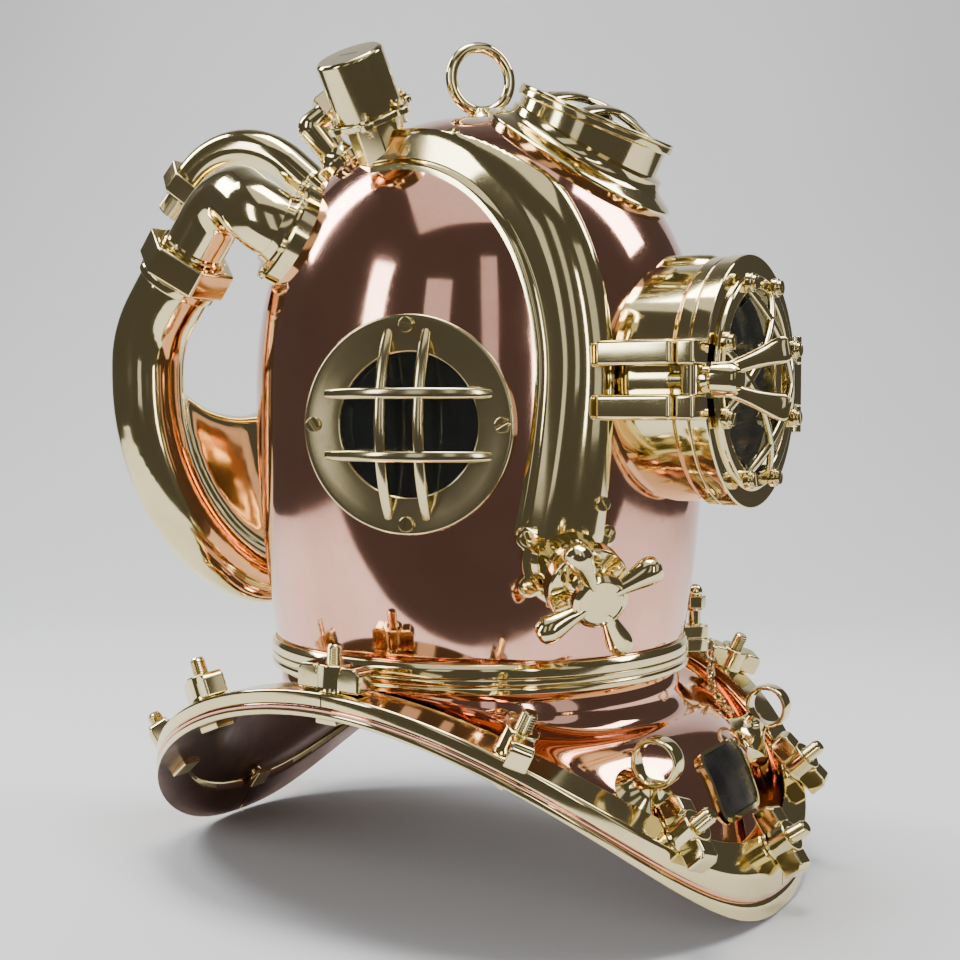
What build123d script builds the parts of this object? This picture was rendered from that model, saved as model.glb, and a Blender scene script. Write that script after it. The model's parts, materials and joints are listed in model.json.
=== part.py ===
from build123d import *
import os
from math import cos, radians, sin, sqrt

# Mixed-gas diving helmet: copper bonnet and breastplate with brass valves and a canister.
# Millimetres and degrees. The diver faces -Y, the diver's right is -X, and Z is up.
# Azimuths are counted from the front towards the diver's right.

# Every cut runs past its face by this much.
overrun = 1.0
# Gap between pieces that move past each other, and around a shaft in its hole.
moving_gap = 0.3
shaft_gap = 0.06

# Rim of the breastplate: its plan, and the arch that carries it over the shoulders.
rim_half_width = 182.0
rim_half_depth = 203.0
rim_squareness = 2.4
rim_arc_azimuths = (0, 25, 55, 90)
arch_radius = 229.0
rim_thickness = 4.0
sheet_thickness = 2.0
brail_thickness = 8.0
brail_width = 26.0
brail_joint_gap = 0.8

# Bowl and collar of the breastplate: ends of the arcs of its outline, as shares.
collar_radius = 127.0
collar_wall = 3.0
neck_seat_z = 130.0
bowl_foot_radius = 196.0
bowl_radius_shares = (0.0, 0.14, 0.66, 1.0)
bowl_height_shares = (0.9, 0.8, 0.545, 0.0)

# Rim studs with wing nuts: azimuth of each stud, and the turn of its nut.
stud_radius = 4.6
stud_reach = 11.0
stud_head_side = 14.0
stud_head_height = 4.0
nut_height = 14.0
nut_boss_radius = 9.5
nut_span = 41.0
nut_ear_width = 13.0
nut_ear_drop = 3.0
shoulder_azimuth = 87.0
stud_turns = {0: 80, 27: 65, 54: 35, shoulder_azimuth: 90, 120: 60, 146: 40, 180: 75,
              -27: 100, -54: 140, -shoulder_azimuth: 90, -120: 120, -146: 150}

# Neck rings, joined by interrupted threads, with a leather gasket between their faces.
ring_outer_radius = 133.0
breast_ring_height = 8.5
breast_ring_bore = 121.0
breast_skirt_depth = 12.0
gasket_inner_radius = 123.0
gasket_width = 6.0
gasket_depth = 2.0
ring_groove_depth = 1.2
ring_groove_height = 2.0
spigot_radius = 117.0
spigot_wall = 5.0
bonnet_ring_height = 8.2
bonnet_ring_web = 3.2
lug_count = 4
lug_angle = 38.0
lug_height = 4.0
lug_side_gap = 0.4

# Bonnet shell, a revolved copper dome.
dome_neck_radius = 129.0
dome_belly_radius = 142.0
dome_belly_z = 300.0
dome_top_z = 471.0
dome_wall = 2.5
dome_fullness_share = 0.62

# Side lights.
side_light_azimuth = 75.5
side_light_z = 280.0
light_seat_radius = 59.0
light_seat_start = 123.0
light_seat_plane = 139.5
light_flange_radius = 60.5
light_flange_thickness = 3.5
light_opening_radius = 39.5
light_glass_radius = 45.0
light_glass_thickness = 10.0
guard_bar_width = 6.4
guard_bar_depth = 5.0
guard_rise = 16.0
guard_foot_sink = 1.0
upright_bar_offset = 11.0
upright_bar_half_span = 53.0
level_bar_offset = 17.0
level_bar_half_span = 49.0

# Slotted screws of the lights, housings and flanges.
screw_radius = 4.2
screw_height = 2.2
screw_slot_width = 1.2
screw_slot_depth = 1.0
light_screw_circle = 54.5

# Top light: middle of its outer face and the lean of its axis to the front.
top_light_y = -82.0
top_light_z = 465.0
top_light_lean = 26.0
top_light_radius = 47.0
top_light_height = 20.0
top_light_flange_radius = 61.0
top_light_flange_thickness = 5.0
top_light_rim_radius = 50.0
top_light_rim_height = 4.0
top_light_opening_radius = 36.0
top_light_glass_radius = 40.0
top_light_glass_thickness = 8.0
top_guard_rise = 10.0
top_guard_offset = 12.0
top_guard_width = 9.0
top_guard_depth = 4.5

# Faceplate housing: a round casting on a saddle flange, with its door in front.
face_z = 304.0
housing_radius = 69.5
housing_bore = 54.0
housing_front = 172.0
housing_lip_radius = 72.5
housing_lip_thickness = 8.0
saddle_half_width = 75.0
saddle_half_height = 84.0
saddle_thickness = 5.0
ridge_radius = 12.0
ridge_lift_share = 0.98
ridge_back = 95.0
face_gasket_inner = 58.0
face_gasket_outer = 66.0
face_gasket_thickness = 3.0

# Fork of the housing beside the wing bolt.
fork_offset = 78.0
fork_half_width = 11.0
fork_back = 128.0
fork_lug_height = 14.0
fork_gap = 15.0

# Door, its glass and the guard of crossed bars.
door_radius = 73.0
door_thickness = 11.0
door_opening_radius = 53.0
door_glass_radius = 57.0
door_glass_thickness = 7.0
door_bezel_radius = 61.0
door_bezel_height = 3.0
cross_bar_offset = 24.5
cross_bar_width = 5.0
cross_bar_depth = 4.0
cross_rise = 11.0
door_screw_count = 8
door_lug_radius = 5.5
door_lug_reach = 59.0

# Door hinge at the diver's left.
hinge_offset = 81.0
hinge_barrel_radius = 6.0
hinge_pin_radius = 3.0
hinge_half_height = 30.0
hinge_middle_half_height = 13.0
hinge_arm_thickness = 6.0

# Wing bolt that clamps the door at the diver's right.
bolt_radius = 4.5
bolt_tail = 20.0
trunnion_radius = 6.5
hub_radius = 9.5
hub_length = 21.0
hub_collar_radius = 7.0
hub_collar_length = 5.0
wing_reach = 27.0
wing_root = 9.0
wing_spread = 17.0
wing_thickness = 6.0
wing_width = 16.0

# Lifting ring on the crown.
lift_ring_radius = 20.0
lift_wire_radius = 3.6
lift_boss_radius = 9.0
lift_boss_height = 6.0
lift_ring_turn = 14.0

# Exhaust channel: the part of an upright slab that lies on the skin, from the valve to the crown.
channel_inner_x = 79.0
channel_outer_x = 118.0
channel_foot_z = 213.0
channel_end_y = 12.0
channel_height = 12.0
channel_edge_radius = 4.0
channel_flange_width = 4.5
channel_flange_thickness = 2.5

# Secondary exhaust valve at the rear of the crown.
second_valve_foot = (-100.0, 15.5, 461.0)
second_valve_axis = (-0.53, 0.04, 0.85)
second_valve_radius = 20.0
second_valve_height = 35.0
second_neck_radius = 14.5
second_neck_depth = 38.0
second_flange_radius = 23.0
second_flange_thickness = 4.0
second_lug_count = 6
second_lug_radius = 4.5
second_slot_length = 14.0
second_slot_width = 3.0
second_slot_depth = 3.0

# Canister elbows and union nuts. The corner is where the straight runs of the pipe would meet.
crown_centre_z = 334.0
crown_radius = 137.0
elbow_azimuth = 127.0
elbow_polar = 64.0
elbow_corner = (-84.0, 136.0, 430.0)
elbow_first_run = 18.0
elbow_last_run = 66.0
elbow_slope = 53.0
elbow_bend_radius = 32.0
elbow_pipe_radius = 16.5
elbow_pipe_wall = 3.0
elbow_flange_radius = 32.5
elbow_flange_thickness = 6.0
elbow_screw_count = 6
union_nut_radius = 31.0
union_nut_height = 19.0
union_nut_end_gap = 3.0

# Canister: two legs and the flat pouch that joins them.
canister_collar_radius = 26.0
canister_collar_height = 6.0
leg_radius = 24.0
leg_back_y = 207.0
leg_bend_radius = 60.0
pouch_top_z = 284.0
pouch_bend_z = 250.0
pouch_foot = (172.0, 164.0)
pouch_end_radius = 9.0

# Gas supply gooseneck with its nut and inlet.
goose_azimuth = 165.0
goose_polar = 48.7
goose_pipe_radius = 13.2
goose_pipe_wall = 3.0
goose_bend_radius = 54.0
goose_first_run = 88.0
goose_last_run = 66.0
goose_slope = 45.0
goose_flange_radius = 23.0
goose_flange_thickness = 12.0
goose_screw_count = 5
goose_nut_radius = 19.0
goose_nut_height = 15.0
inlet_radius = 10.0
inlet_length = 14.0

# Telephone gland, at the rear of the crown.
gland_azimuth = 140.0
gland_polar = 39.0
gland_flange_radius = 17.0
gland_flange_thickness = 5.0
gland_post_radius = 10.0
gland_post_height = 30.0
gland_arm_back = 11.0
gland_arm_reach = 9.0
gland_hex_radius = 15.5
gland_hex_height = 13.0

# Exhaust valve at the diver's right front.
valve_azimuth = 39.0
valve_dip = 22.0
valve_reach = 165.0
valve_z = 195.0
valve_body_radius = 19.0
valve_body_bore = 14.0
valve_body_depth = 62.0
valve_pad_radius = 26.0
valve_pad_thickness = 4.0
valve_ear_radius = 6.0
valve_ear_angles = (25, 155, 215, 325)
valve_bonnet_radius = 23.0
valve_bonnet_height = 10.0
valve_neck_radius = 9.0
valve_neck_height = 9.0
valve_stem_radius = 4.0
valve_screw_count = 6
wheel_hub_radius = 15.5
wheel_hub_height = 8.0
wheel_arm_reach = 38.0
wheel_arm_root_radius = 3.6
wheel_arm_end_radius = 5.4
wheel_arm_count = 4
wheel_arm_turn = 22.0
wheel_gap = 1.0
valve_seat_thickness = 3.0
valve_seat_bore = 10.0
exhaust_disc_radius = 12.5
exhaust_disc_thickness = 3.0
chin_stem_radius = 3.5
chin_button_radius = 11.0
chin_button_thickness = 4.0
chin_button_reach = 24.0

# Padeyes on the chest.
padeye_azimuth = 28.0
padeye_foot_radius = 169.0
padeye_foot_z = 79.0
padeye_rise = 53.0
padeye_reach = 25.2
padeye_ring_radius = 14.0
padeye_hole_radius = 10.5
padeye_ring_width = 12.0
padeye_base_radius = 21.0
padeye_neck_radius = 8.0
padeye_base_sink = 12.0

# Name plate on the chest, left blank.
plate_width = 58.0
plate_height = 42.0
plate_corner_radius = 9.0
plate_thickness = 2.0
plate_border = 2.4
plate_radius = 171.0
plate_z = 72.0
plate_lean = 52.0

# Neck lock at the diver's left front: lugs, ball-topped pin and chain.
lock_azimuth = -40.0
lock_reach = 143.0
lock_lug_radius = 9.0
lock_pin_radius = 4.0
lock_hole_gap = 0.3
lock_stem_height = 19.0
lock_hex_radius = 7.5
lock_hex_height = 8.0
lock_ball_radius = 5.2
lock_pin_tip_gap = 0.3
chain_links = 9
chain_link_length = 9.0
chain_link_width = 6.4
chain_wire = 1.6
chain_start_z = 128.4
chain_radius = 154.0
chain_drop_share = 0.62
chain_low_z = 101.0
chain_end_z = 93.0
chain_end_radius = 162.0
chain_end_azimuth = -30.0
split_ring_radius = 6.5


def outward(azimuth, rise=0.0):
    """Unit vector that points out at an azimuth, raised from the level by an angle."""
    level = cos(radians(rise))
    return Vector(-sin(radians(azimuth)) * level, -cos(radians(azimuth)) * level, sin(radians(rise)))


def level_tangent(axis):
    """Level unit vector square to an axis, or the X direction for an upright axis."""
    side = Vector(0, 0, 1).cross(axis)
    return side.normalized() if side.length > 0.001 else Vector(1, 0, 0)


def facing(origin, axis):
    """Plane at a point whose Z runs along an axis and whose X is level."""
    axis = Vector(*axis).normalized()
    return Plane(origin=Vector(*origin), x_dir=level_tangent(axis), z_dir=axis)


def disc(plane, radius, start, end):
    """Cylinder on a plane's axis between two heights."""
    return extrude(plane.offset(start) * Circle(radius), amount=end - start)


def tube(plane, outer, inner, start, end):
    """Hollow cylinder on a plane's axis between two heights."""
    return extrude(plane.offset(start) * (Circle(outer) - Circle(inner)), amount=end - start)


def prism(plane, radius, start, end, sides=6):
    """Regular prism on a plane's axis, measured to its corners."""
    return extrude(plane.offset(start) * RegularPolygon(radius, sides), amount=end - start)


def turned(plane, points):
    """Solid turned about a plane's Z from a closed outline of radius and height pairs."""
    outline = make_face(Plane.XZ * Polyline(*points, close=True))
    return plane.location * revolve(outline, axis=Axis.Z)


def joined(shapes):
    """One shape from a list of shapes that touch or overlap."""
    first, *rest = shapes
    return first.fuse(*rest) if rest else first


def group(solids):
    """Separate solids held together as one node."""
    return Compound(children=list(solids))


def across(shape):
    """The same shape on the diver's other side."""
    return mirror(shape, about=Plane.YZ)


def around(plane, count, radius, turn=0.0):
    """Planes spaced evenly on a circle round a plane's axis."""
    steps = [radians(turn + 360 * i / count) for i in range(count)]
    return [plane * Pos(radius * cos(a), radius * sin(a), 0) for a in steps]


def screw(place):
    """Round slotted screw head that stands on a place."""
    plane = Plane(place)
    head = disc(plane, screw_radius, 0, screw_height)
    slot = extrude(plane.offset(screw_height - screw_slot_depth)
                   * Rectangle(2 * screw_radius + overrun, screw_slot_width), amount=screw_height)
    return head - slot


def arched_bar(half_span, rise, depth, width):
    """Bar along X that arches up from two feet at height zero."""
    outer = ThreePointArc((-half_span, 0), (0, rise), (half_span, 0))
    inner = ThreePointArc((half_span - depth, 0), (0, rise - depth), (depth - half_span, 0))
    ends = Line(outer @ 1, inner @ 0) + Line(inner @ 1, outer @ 0)
    return extrude(make_face(Plane.XZ * (outer + inner + ends)), amount=width / 2, both=True)


# Heights and radii that follow from the sizes above.
arch_axis_z = -sqrt(arch_radius ** 2 - rim_half_depth ** 2)
brail_slope = -arch_axis_z / arch_radius
rim_top_radius = arch_radius + rim_thickness
sheet_top_radius = rim_top_radius + sheet_thickness
brail_top_radius = sheet_top_radius + brail_thickness
breast_ring_top_z = neck_seat_z + breast_ring_height
bonnet_ring_z = breast_ring_top_z + moving_gap
bonnet_ring_top_z = bonnet_ring_z + bonnet_ring_height
dome_foot_z = bonnet_ring_z + bonnet_ring_web
floor_plane = Plane.XY
arch_plane = Plane(origin=(0, 0, arch_axis_z), x_dir=(0, 1, 0), z_dir=(1, 0, 0))
face_plane = facing((0, 0, face_z), (0, -1, 0))


def dome_solid(grow, foot_z):
    """Solid dome whose skin lies a distance outside the bonnet's outer skin."""
    belly = (dome_belly_radius + grow, dome_belly_z)
    foot = (dome_neck_radius + grow, foot_z)
    top = (0, dome_top_z + grow)
    rise = (dome_top_z - dome_belly_z) * dome_fullness_share
    wall = TangentArc(belly, foot, tangent=(0, -1))
    crown = Bezier(belly, (belly[0], dome_belly_z + rise), (belly[0] * dome_fullness_share, top[1]), top)
    sides = Line(foot, (0, foot_z)) + Line((0, foot_z), top)
    return revolve(make_face(Plane.XZ * (wall + crown + sides)), axis=Axis.Z)


dome_block = dome_solid(0, dome_foot_z)
dome_hollow = dome_solid(-dome_wall, dome_foot_z - overrun)


def on_skin(piece, thickness):
    """The part of a piece that lies on the bonnet within a thickness of its skin."""
    return (piece & dome_solid(thickness, dome_foot_z)) - dome_block


def rim_radius(azimuth, half_width, half_depth):
    """Distance of a rounded plan outline from the middle at an azimuth."""
    side = abs(sin(radians(azimuth))) / half_width
    front = abs(cos(radians(azimuth))) / half_depth
    return (side ** rim_squareness + front ** rim_squareness) ** (-1 / rim_squareness)


def rim_block(half_width, half_depth):
    """Upright block with the plan of the rim, taller than the breastplate."""
    points = [outward(a) * rim_radius(a, half_width, half_depth) for a in rim_arc_azimuths]
    heading = Vector(-1, 0, 0)
    edges = []
    for start, end in zip(points, points[1:]):
        edges.append(TangentArc(start, end, tangent=heading))
        heading = edges[-1] % 1
    edges += Polyline(points[-1], (0, 0, 0), points[0]).edges()
    quarter = extrude(make_face(Wire(edges)), amount=neck_seat_z + rim_half_width, dir=(0, 0, 1))
    right = quarter + mirror(quarter, about=Plane.XZ)
    return right + across(right)


def arch_block(radius):
    """Solid cylinder under the arch of the rim, across the whole width."""
    return disc(arch_plane, radius, -rim_half_width - overrun, rim_half_width + overrun)


def rim_band(inner_radius, outer_radius):
    """Band along the rim between two radii of the arch."""
    inner_width = rim_half_width - brail_width
    inner_depth = rim_half_depth - brail_width * brail_slope
    band = rim_block(rim_half_width, rim_half_depth) - rim_block(inner_width, inner_depth)
    return (band & arch_block(outer_radius)) - arch_block(inner_radius)


def stud_plane(azimuth):
    """Plane square to the rim at a stud, with its origin on the axis of the arch."""
    mid_width = rim_half_width - brail_width / 2
    mid_depth = rim_half_depth - brail_width * brail_slope / 2
    place = outward(azimuth) * rim_radius(azimuth, mid_width, mid_depth)
    lean = Vector(0, place.Y, sqrt(brail_top_radius ** 2 - place.Y ** 2)).normalized()
    return Plane(origin=(place.X, 0, arch_axis_z), x_dir=(1, 0, 0), z_dir=lean)


def stud_holes():
    """Shanks of all the studs, which cut their holes."""
    return [disc(stud_plane(a), stud_radius, arch_radius - overrun, brail_top_radius + overrun)
            for a in stud_turns]


def rim_studs():
    """Studs with a square head under the rim and a free end above the nut."""
    studs = []
    head_top = sqrt(arch_radius ** 2 - (stud_head_side / 2) ** 2)
    for azimuth in stud_turns:
        plane = stud_plane(azimuth)
        shank = disc(plane, stud_radius, head_top, brail_top_radius + nut_height + stud_reach)
        head = extrude(plane.offset(head_top - stud_head_height)
                       * Rectangle(stud_head_side, stud_head_side), amount=stud_head_height)
        studs.append(shank + head)
    return group(studs)


def wing_nut(azimuth, turn):
    """Nut with two block ears, seated on the brail."""
    plane = Plane(stud_plane(azimuth).offset(brail_top_radius).location * Rot(0, 0, turn))
    boss = disc(plane, nut_boss_radius, 0, nut_height)
    half = nut_span / 2
    side = Polyline((-half, 0), (half, 0), (half, nut_height - nut_ear_drop), (half - nut_ear_drop, nut_height),
                    (nut_ear_drop - half, nut_height), (-half, nut_height - nut_ear_drop), close=True)
    upright = Plane(origin=plane.origin, x_dir=plane.x_dir, z_dir=-plane.y_dir)
    ears = extrude(make_face(upright * side), amount=nut_ear_width / 2, both=True)
    saddle = disc(plane, nut_boss_radius + nut_ear_drop, nut_height - nut_ear_drop, nut_height + overrun)
    saddle -= disc(plane, nut_boss_radius, nut_height - nut_ear_drop, nut_height + overrun)
    bore = disc(plane, stud_radius, -overrun, nut_height + overrun)
    return boss + (ears - saddle) - bore


def wing_nuts():
    """All the nuts of the rim."""
    return group([wing_nut(a, turn) for a, turn in stud_turns.items()])


def bowl_solid(shift):
    """Solid under the bowl and collar, moved in and down by a wall."""
    spread = bowl_foot_radius - collar_radius
    points = [(collar_radius + r * spread - shift, h * neck_seat_z - shift)
              for r, h in zip(bowl_radius_shares, bowl_height_shares)]
    top = neck_seat_z + (overrun if shift else 0)
    heading = Vector(0, -1)
    skin = []
    for start, end in zip(points, points[1:]):
        skin.append(TangentArc(start, end, tangent=heading))
        heading = skin[-1] % 1
    rest = Polyline(points[-1], (0, points[-1][1]), (0, top), (points[0][0], top), points[0])
    return revolve(Plane.XZ * make_face(Wire(skin + rest.edges())), axis=Axis.Z)


def breastplate_shell(holes):
    """Copper bowl and collar, flowing into the sheet that lies on the rim."""
    plan = rim_block(rim_half_width, rim_half_depth)
    brim = plan & arch_block(sheet_top_radius)
    body = (bowl_solid(0) & plan) + (brim - disc(floor_plane, collar_radius, arch_axis_z, neck_seat_z + overrun))
    body -= bowl_solid(collar_wall)
    body -= arch_block(rim_top_radius)
    return body - holes


def brails(holes):
    """The four clamping strips, parted at the front, the back and both shoulders."""
    band = rim_band(sheet_top_radius, brail_top_radius)
    joint_y = (outward(shoulder_azimuth) * rim_half_width).Y
    tall = 3 * rim_half_depth
    strips = {}
    for name, side, front in (("front_right", -1, -1), ("front_left", 1, -1),
                              ("rear_right", -1, 1), ("rear_left", 1, 1)):
        corner = Box(rim_half_depth * 2, rim_half_depth * 2, tall,
                     align=(Align.MIN if side > 0 else Align.MAX, Align.MIN if front > 0 else Align.MAX, Align.CENTER))
        quarter = Pos(side * brail_joint_gap / 2, joint_y + front * brail_joint_gap / 2, 0) * corner
        strips["brail_" + name] = (band & quarter) - holes
    return strips


def lug_arcs(inner, outer, start_z, turn):
    """Lugs of an interrupted thread between two radii."""
    ring = tube(floor_plane, outer, inner, start_z, start_z + lug_height)
    lugs = []
    for i in range(lug_count):
        reach = 2 * outer
        half = radians(lug_angle / 2)
        wedge = make_face(Polyline((0, 0), (reach, -reach * sin(half) / cos(half)),
                                   (reach, reach * sin(half) / cos(half)), close=True))
        sector = extrude(Plane.XY.offset(start_z - overrun) * wedge, amount=lug_height + 2 * overrun)
        lugs.append(ring & (Rot(0, 0, turn + 360 * i / lug_count) * sector))
    return lugs


def lock_lug(start_z, end_z):
    """Round-nosed lug beside a neck ring, with the hole of the lock pin."""
    plane = facing(outward(lock_azimuth) * lock_reach, (0, 0, 1))
    nose = disc(plane, lock_lug_radius, start_z, end_z)
    root = Plane(origin=(0, 0, start_z), x_dir=outward(lock_azimuth), z_dir=(0, 0, 1))
    web = extrude(root * Pos((ring_outer_radius + lock_reach) / 2, 0)
                  * Rectangle(lock_reach - ring_outer_radius + 2 * overrun, 2 * lock_lug_radius),
                  amount=end_z - start_z)
    core = disc(floor_plane, ring_outer_radius - overrun, start_z - overrun, end_z + overrun)
    return (nose + web) - core - disc(plane, lock_pin_radius + lock_hole_gap, start_z - overrun, end_z + overrun)


def breastplate_ring():
    """Lower neck ring with its skirt, inner lugs, gasket seat and lock lug."""
    top, seat = breast_ring_top_z, neck_seat_z
    groove_z = seat + (breast_ring_height - ring_groove_height) / 2
    waist = ring_outer_radius - ring_groove_depth
    gasket_outer = gasket_inner_radius + gasket_width
    skirt = collar_radius - collar_wall
    ring = turned(floor_plane, [
        (breast_ring_bore, seat - breast_skirt_depth), (skirt, seat - breast_skirt_depth), (skirt, seat),
        (ring_outer_radius, seat), (ring_outer_radius, groove_z), (waist, groove_z + ring_groove_height / 2),
        (ring_outer_radius, groove_z + ring_groove_height), (ring_outer_radius, top), (gasket_outer, top),
        (gasket_outer, top - gasket_depth), (gasket_inner_radius, top - gasket_depth),
        (gasket_inner_radius, top), (breast_ring_bore, top)])
    lugs = lug_arcs(spigot_radius + lug_side_gap, breast_ring_bore + overrun, seat - lug_height, 0)
    return joined([ring, lock_lug(seat, top)] + lugs)


def bonnet_ring():
    """Upper neck ring with its spigot, outer lugs and lock lug."""
    base, top = bonnet_ring_z, bonnet_ring_top_z
    foot = neck_seat_z - breast_skirt_depth + moving_gap
    inner = spigot_radius - spigot_wall
    ring = turned(floor_plane, [
        (inner, foot), (spigot_radius, foot), (spigot_radius, base), (ring_outer_radius, base),
        (ring_outer_radius, top), (dome_neck_radius, top), (dome_neck_radius, dome_foot_z), (inner, dome_foot_z)])
    lugs = lug_arcs(spigot_radius - overrun, breast_ring_bore - lug_side_gap,
                    neck_seat_z - 2 * lug_height - moving_gap, 0)
    return joined([ring - dome_block, lock_lug(base, top) - dome_block] + lugs)


def neck_gasket():
    """Leather ring in the seat of the lower neck ring."""
    top = breast_ring_top_z
    return tube(floor_plane, gasket_inner_radius + gasket_width, gasket_inner_radius, top - gasket_depth, top)


def padeye():
    """Eye on a bell-shaped foot, standing on the bowl at the diver's right."""
    foot = outward(padeye_azimuth) * padeye_foot_radius + Vector(0, 0, padeye_foot_z)
    plane = facing(foot, outward(padeye_azimuth, padeye_rise))
    reach = padeye_reach - padeye_hole_radius
    flare = ThreePointArc((padeye_base_radius, 0), (padeye_neck_radius + reach / 4, reach / 3),
                          (padeye_neck_radius, reach))
    rest = Polyline(flare @ 1, (0, reach), (0, 0), flare @ 0)
    bell = plane.location * revolve(make_face(Plane.XZ * (flare + rest)), axis=Axis.Z)
    base = disc(plane, padeye_base_radius, -padeye_base_sink, 0)
    eye = Plane(origin=plane.offset(padeye_reach).origin, x_dir=(0, 1, 0), z_dir=(1, 0, 0))
    half = padeye_ring_width / 2
    body = joined([base, bell, disc(eye, padeye_ring_radius, -half, half)])
    body = body - bowl_solid(0) - arch_block(sheet_top_radius)
    return body - disc(eye, padeye_hole_radius, -half - overrun, half + overrun)


def name_plate():
    """Blank plate and its raised border, fixed on the front of the bowl."""
    origin = Vector(0, -plate_radius, plate_z)
    plane = Plane(origin=origin, x_dir=(1, 0, 0), z_dir=outward(0, 90 - plate_lean))
    outline = RectangleRounded(plate_width, plate_height, plate_corner_radius)
    inside = RectangleRounded(plate_width - 2 * plate_border, plate_height - 2 * plate_border,
                              plate_corner_radius - plate_border)
    blocks = [extrude(plane * shape, amount=plate_height / 2, both=True) for shape in (outline - inside, inside)]
    rim, face = [(block & bowl_solid(-lift)) - bowl_solid(0)
                 for block, lift in zip(blocks, (plate_thickness, plate_thickness / 2))]
    return rim, face


def chain():
    """Short chain from the lower lock lug, lying down the collar and the bowl."""
    start = outward(lock_azimuth) * chain_radius + Vector(0, 0, chain_start_z)
    end = outward(chain_end_azimuth) * chain_end_radius + Vector(0, 0, chain_end_z)
    bend = outward(lock_azimuth) * chain_radius + Vector(0, 0, chain_low_z)
    path = Bezier(start, bend * chain_drop_share + start * (1 - chain_drop_share), bend, end)
    shape = SlotOverall(chain_link_length, chain_link_width)
    hole = SlotOverall(chain_link_length - 2 * chain_wire, chain_link_width - 2 * chain_wire)
    links = []
    for i in range(chain_links):
        share = (i + 0.5) / chain_links
        run = (path % share).normalized()
        side = level_tangent(run)
        normal = side if i % 2 else run.cross(side)
        plane = Plane(origin=path @ share, x_dir=run, z_dir=normal)
        links.append(extrude(plane * (shape - hole), amount=chain_wire / 2, both=True))
    return group(links)


def lock_pin():
    """Ball-topped pin that stands in the bonnet's lug, its tip clear of the lug below."""
    plane = facing(outward(lock_azimuth) * lock_reach, (0, 0, 1))
    tip = bonnet_ring_z + lock_pin_tip_gap
    waist = tip + lock_stem_height
    shoulder = waist + lock_hex_height
    ball = Pos(*plane.offset(shoulder + lock_ball_radius / 2).origin) * Sphere(lock_ball_radius)
    return joined([disc(plane, lock_pin_radius, tip, waist), prism(plane, lock_hex_radius, waist, shoulder), ball])


side_light_plane = facing((0, 0, side_light_z), outward(side_light_azimuth))


def side_light_seat():
    """Ring let into the bonnet, with the step that the glass rests on."""
    ledge = light_seat_plane - light_glass_thickness
    body = tube(side_light_plane, light_seat_radius, light_opening_radius, light_seat_start, light_seat_plane)
    return body - disc(side_light_plane, light_glass_radius, ledge, light_seat_plane + overrun)


def side_light_glass():
    """Thick round glass between the seat and the guard flange."""
    ledge = light_seat_plane - light_glass_thickness
    return disc(side_light_plane, light_glass_radius, ledge, light_seat_plane)


def side_light_guard():
    """Flange with two upright and two level bars that arch over the glass."""
    top = light_seat_plane + light_flange_thickness
    flange = tube(side_light_plane, light_flange_radius, light_opening_radius, light_seat_plane, top)
    plane = side_light_plane.offset(top - guard_foot_sink)
    bars = []
    for sign in (-1, 1):
        level = arched_bar(level_bar_half_span, guard_rise, guard_bar_depth, guard_bar_width)
        upright = arched_bar(upright_bar_half_span, guard_rise, guard_bar_depth, guard_bar_width)
        bars.append(plane * Pos(0, sign * level_bar_offset) * level)
        bars.append(plane * Pos(sign * upright_bar_offset, 0) * Rot(0, 0, 90) * upright)
    return joined([flange] + bars)


def side_light_screws():
    """Four slotted screws of one side light."""
    top = side_light_plane.offset(light_seat_plane + light_flange_thickness)
    return [screw(place) for place in around(top, 4, light_screw_circle)]


top_light_plane = facing((0, top_light_y, top_light_z), outward(0, 90 - top_light_lean))


def top_light_housing():
    """Short tube with a flange on the crown and a rim round the glass."""
    depth = top_light_height + crown_radius / 4
    body = tube(top_light_plane, top_light_radius, top_light_opening_radius, -depth, 0)
    rim = tube(top_light_plane, top_light_rim_radius, top_light_opening_radius, -top_light_rim_height, 0)
    flange = on_skin(disc(top_light_plane, top_light_flange_radius, -depth, 0), top_light_flange_thickness)
    flange -= disc(top_light_plane, top_light_opening_radius, -depth - overrun, overrun)
    glass_room = disc(top_light_plane, top_light_glass_radius, -top_light_glass_thickness, overrun)
    return joined([(body + rim) - dome_block, flange]) - glass_room


def top_light_glass():
    """Round glass of the top light."""
    return disc(top_light_plane, top_light_glass_radius, -top_light_glass_thickness, 0)


def top_light_guard():
    """Thin ring on the rim with two arched bars each way."""
    half = sqrt(top_light_rim_radius ** 2 - top_guard_offset ** 2) - top_guard_depth
    ring = tube(top_light_plane, top_light_rim_radius, top_light_opening_radius, 0, top_guard_depth / 2)
    bars = []
    for sign in (-1, 1):
        bar = arched_bar(half, top_guard_rise, top_guard_depth, top_guard_width)
        bars.append(top_light_plane * Pos(0, sign * top_guard_offset) * bar)
    bars.append(top_light_plane * Rot(0, 0, 90) * bar)
    return joined([ring] + bars)


def faceplate_housing():
    """Round casting with its saddle flange, air ridge, fork and hinge arms."""
    front = housing_front
    barrel = disc(face_plane, housing_radius, 0, front) - dome_block
    lip = disc(face_plane, housing_lip_radius, front - housing_lip_thickness, front)
    saddle = on_skin(extrude(saddle_face(), amount=front), saddle_thickness)
    lift = housing_radius * ridge_lift_share
    ridge_face = face_plane.offset(ridge_back) * Pos(0, lift) * Circle(ridge_radius)
    ridge = extrude(ridge_face, amount=front - housing_lip_thickness - ridge_back) - dome_block
    body = joined([barrel, lip, saddle, ridge] + fork_lugs() + hinge_arms())
    body -= disc(face_plane, housing_bore, 0, front + overrun)
    return body - face_gasket_room(moving_gap) - disc(hinge_plane, hinge_pin_radius, -face_z, face_z)


def saddle_face():
    """Outline of the saddle flange of the faceplate housing."""
    return face_plane * Ellipse(saddle_half_width, saddle_half_height)


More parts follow.
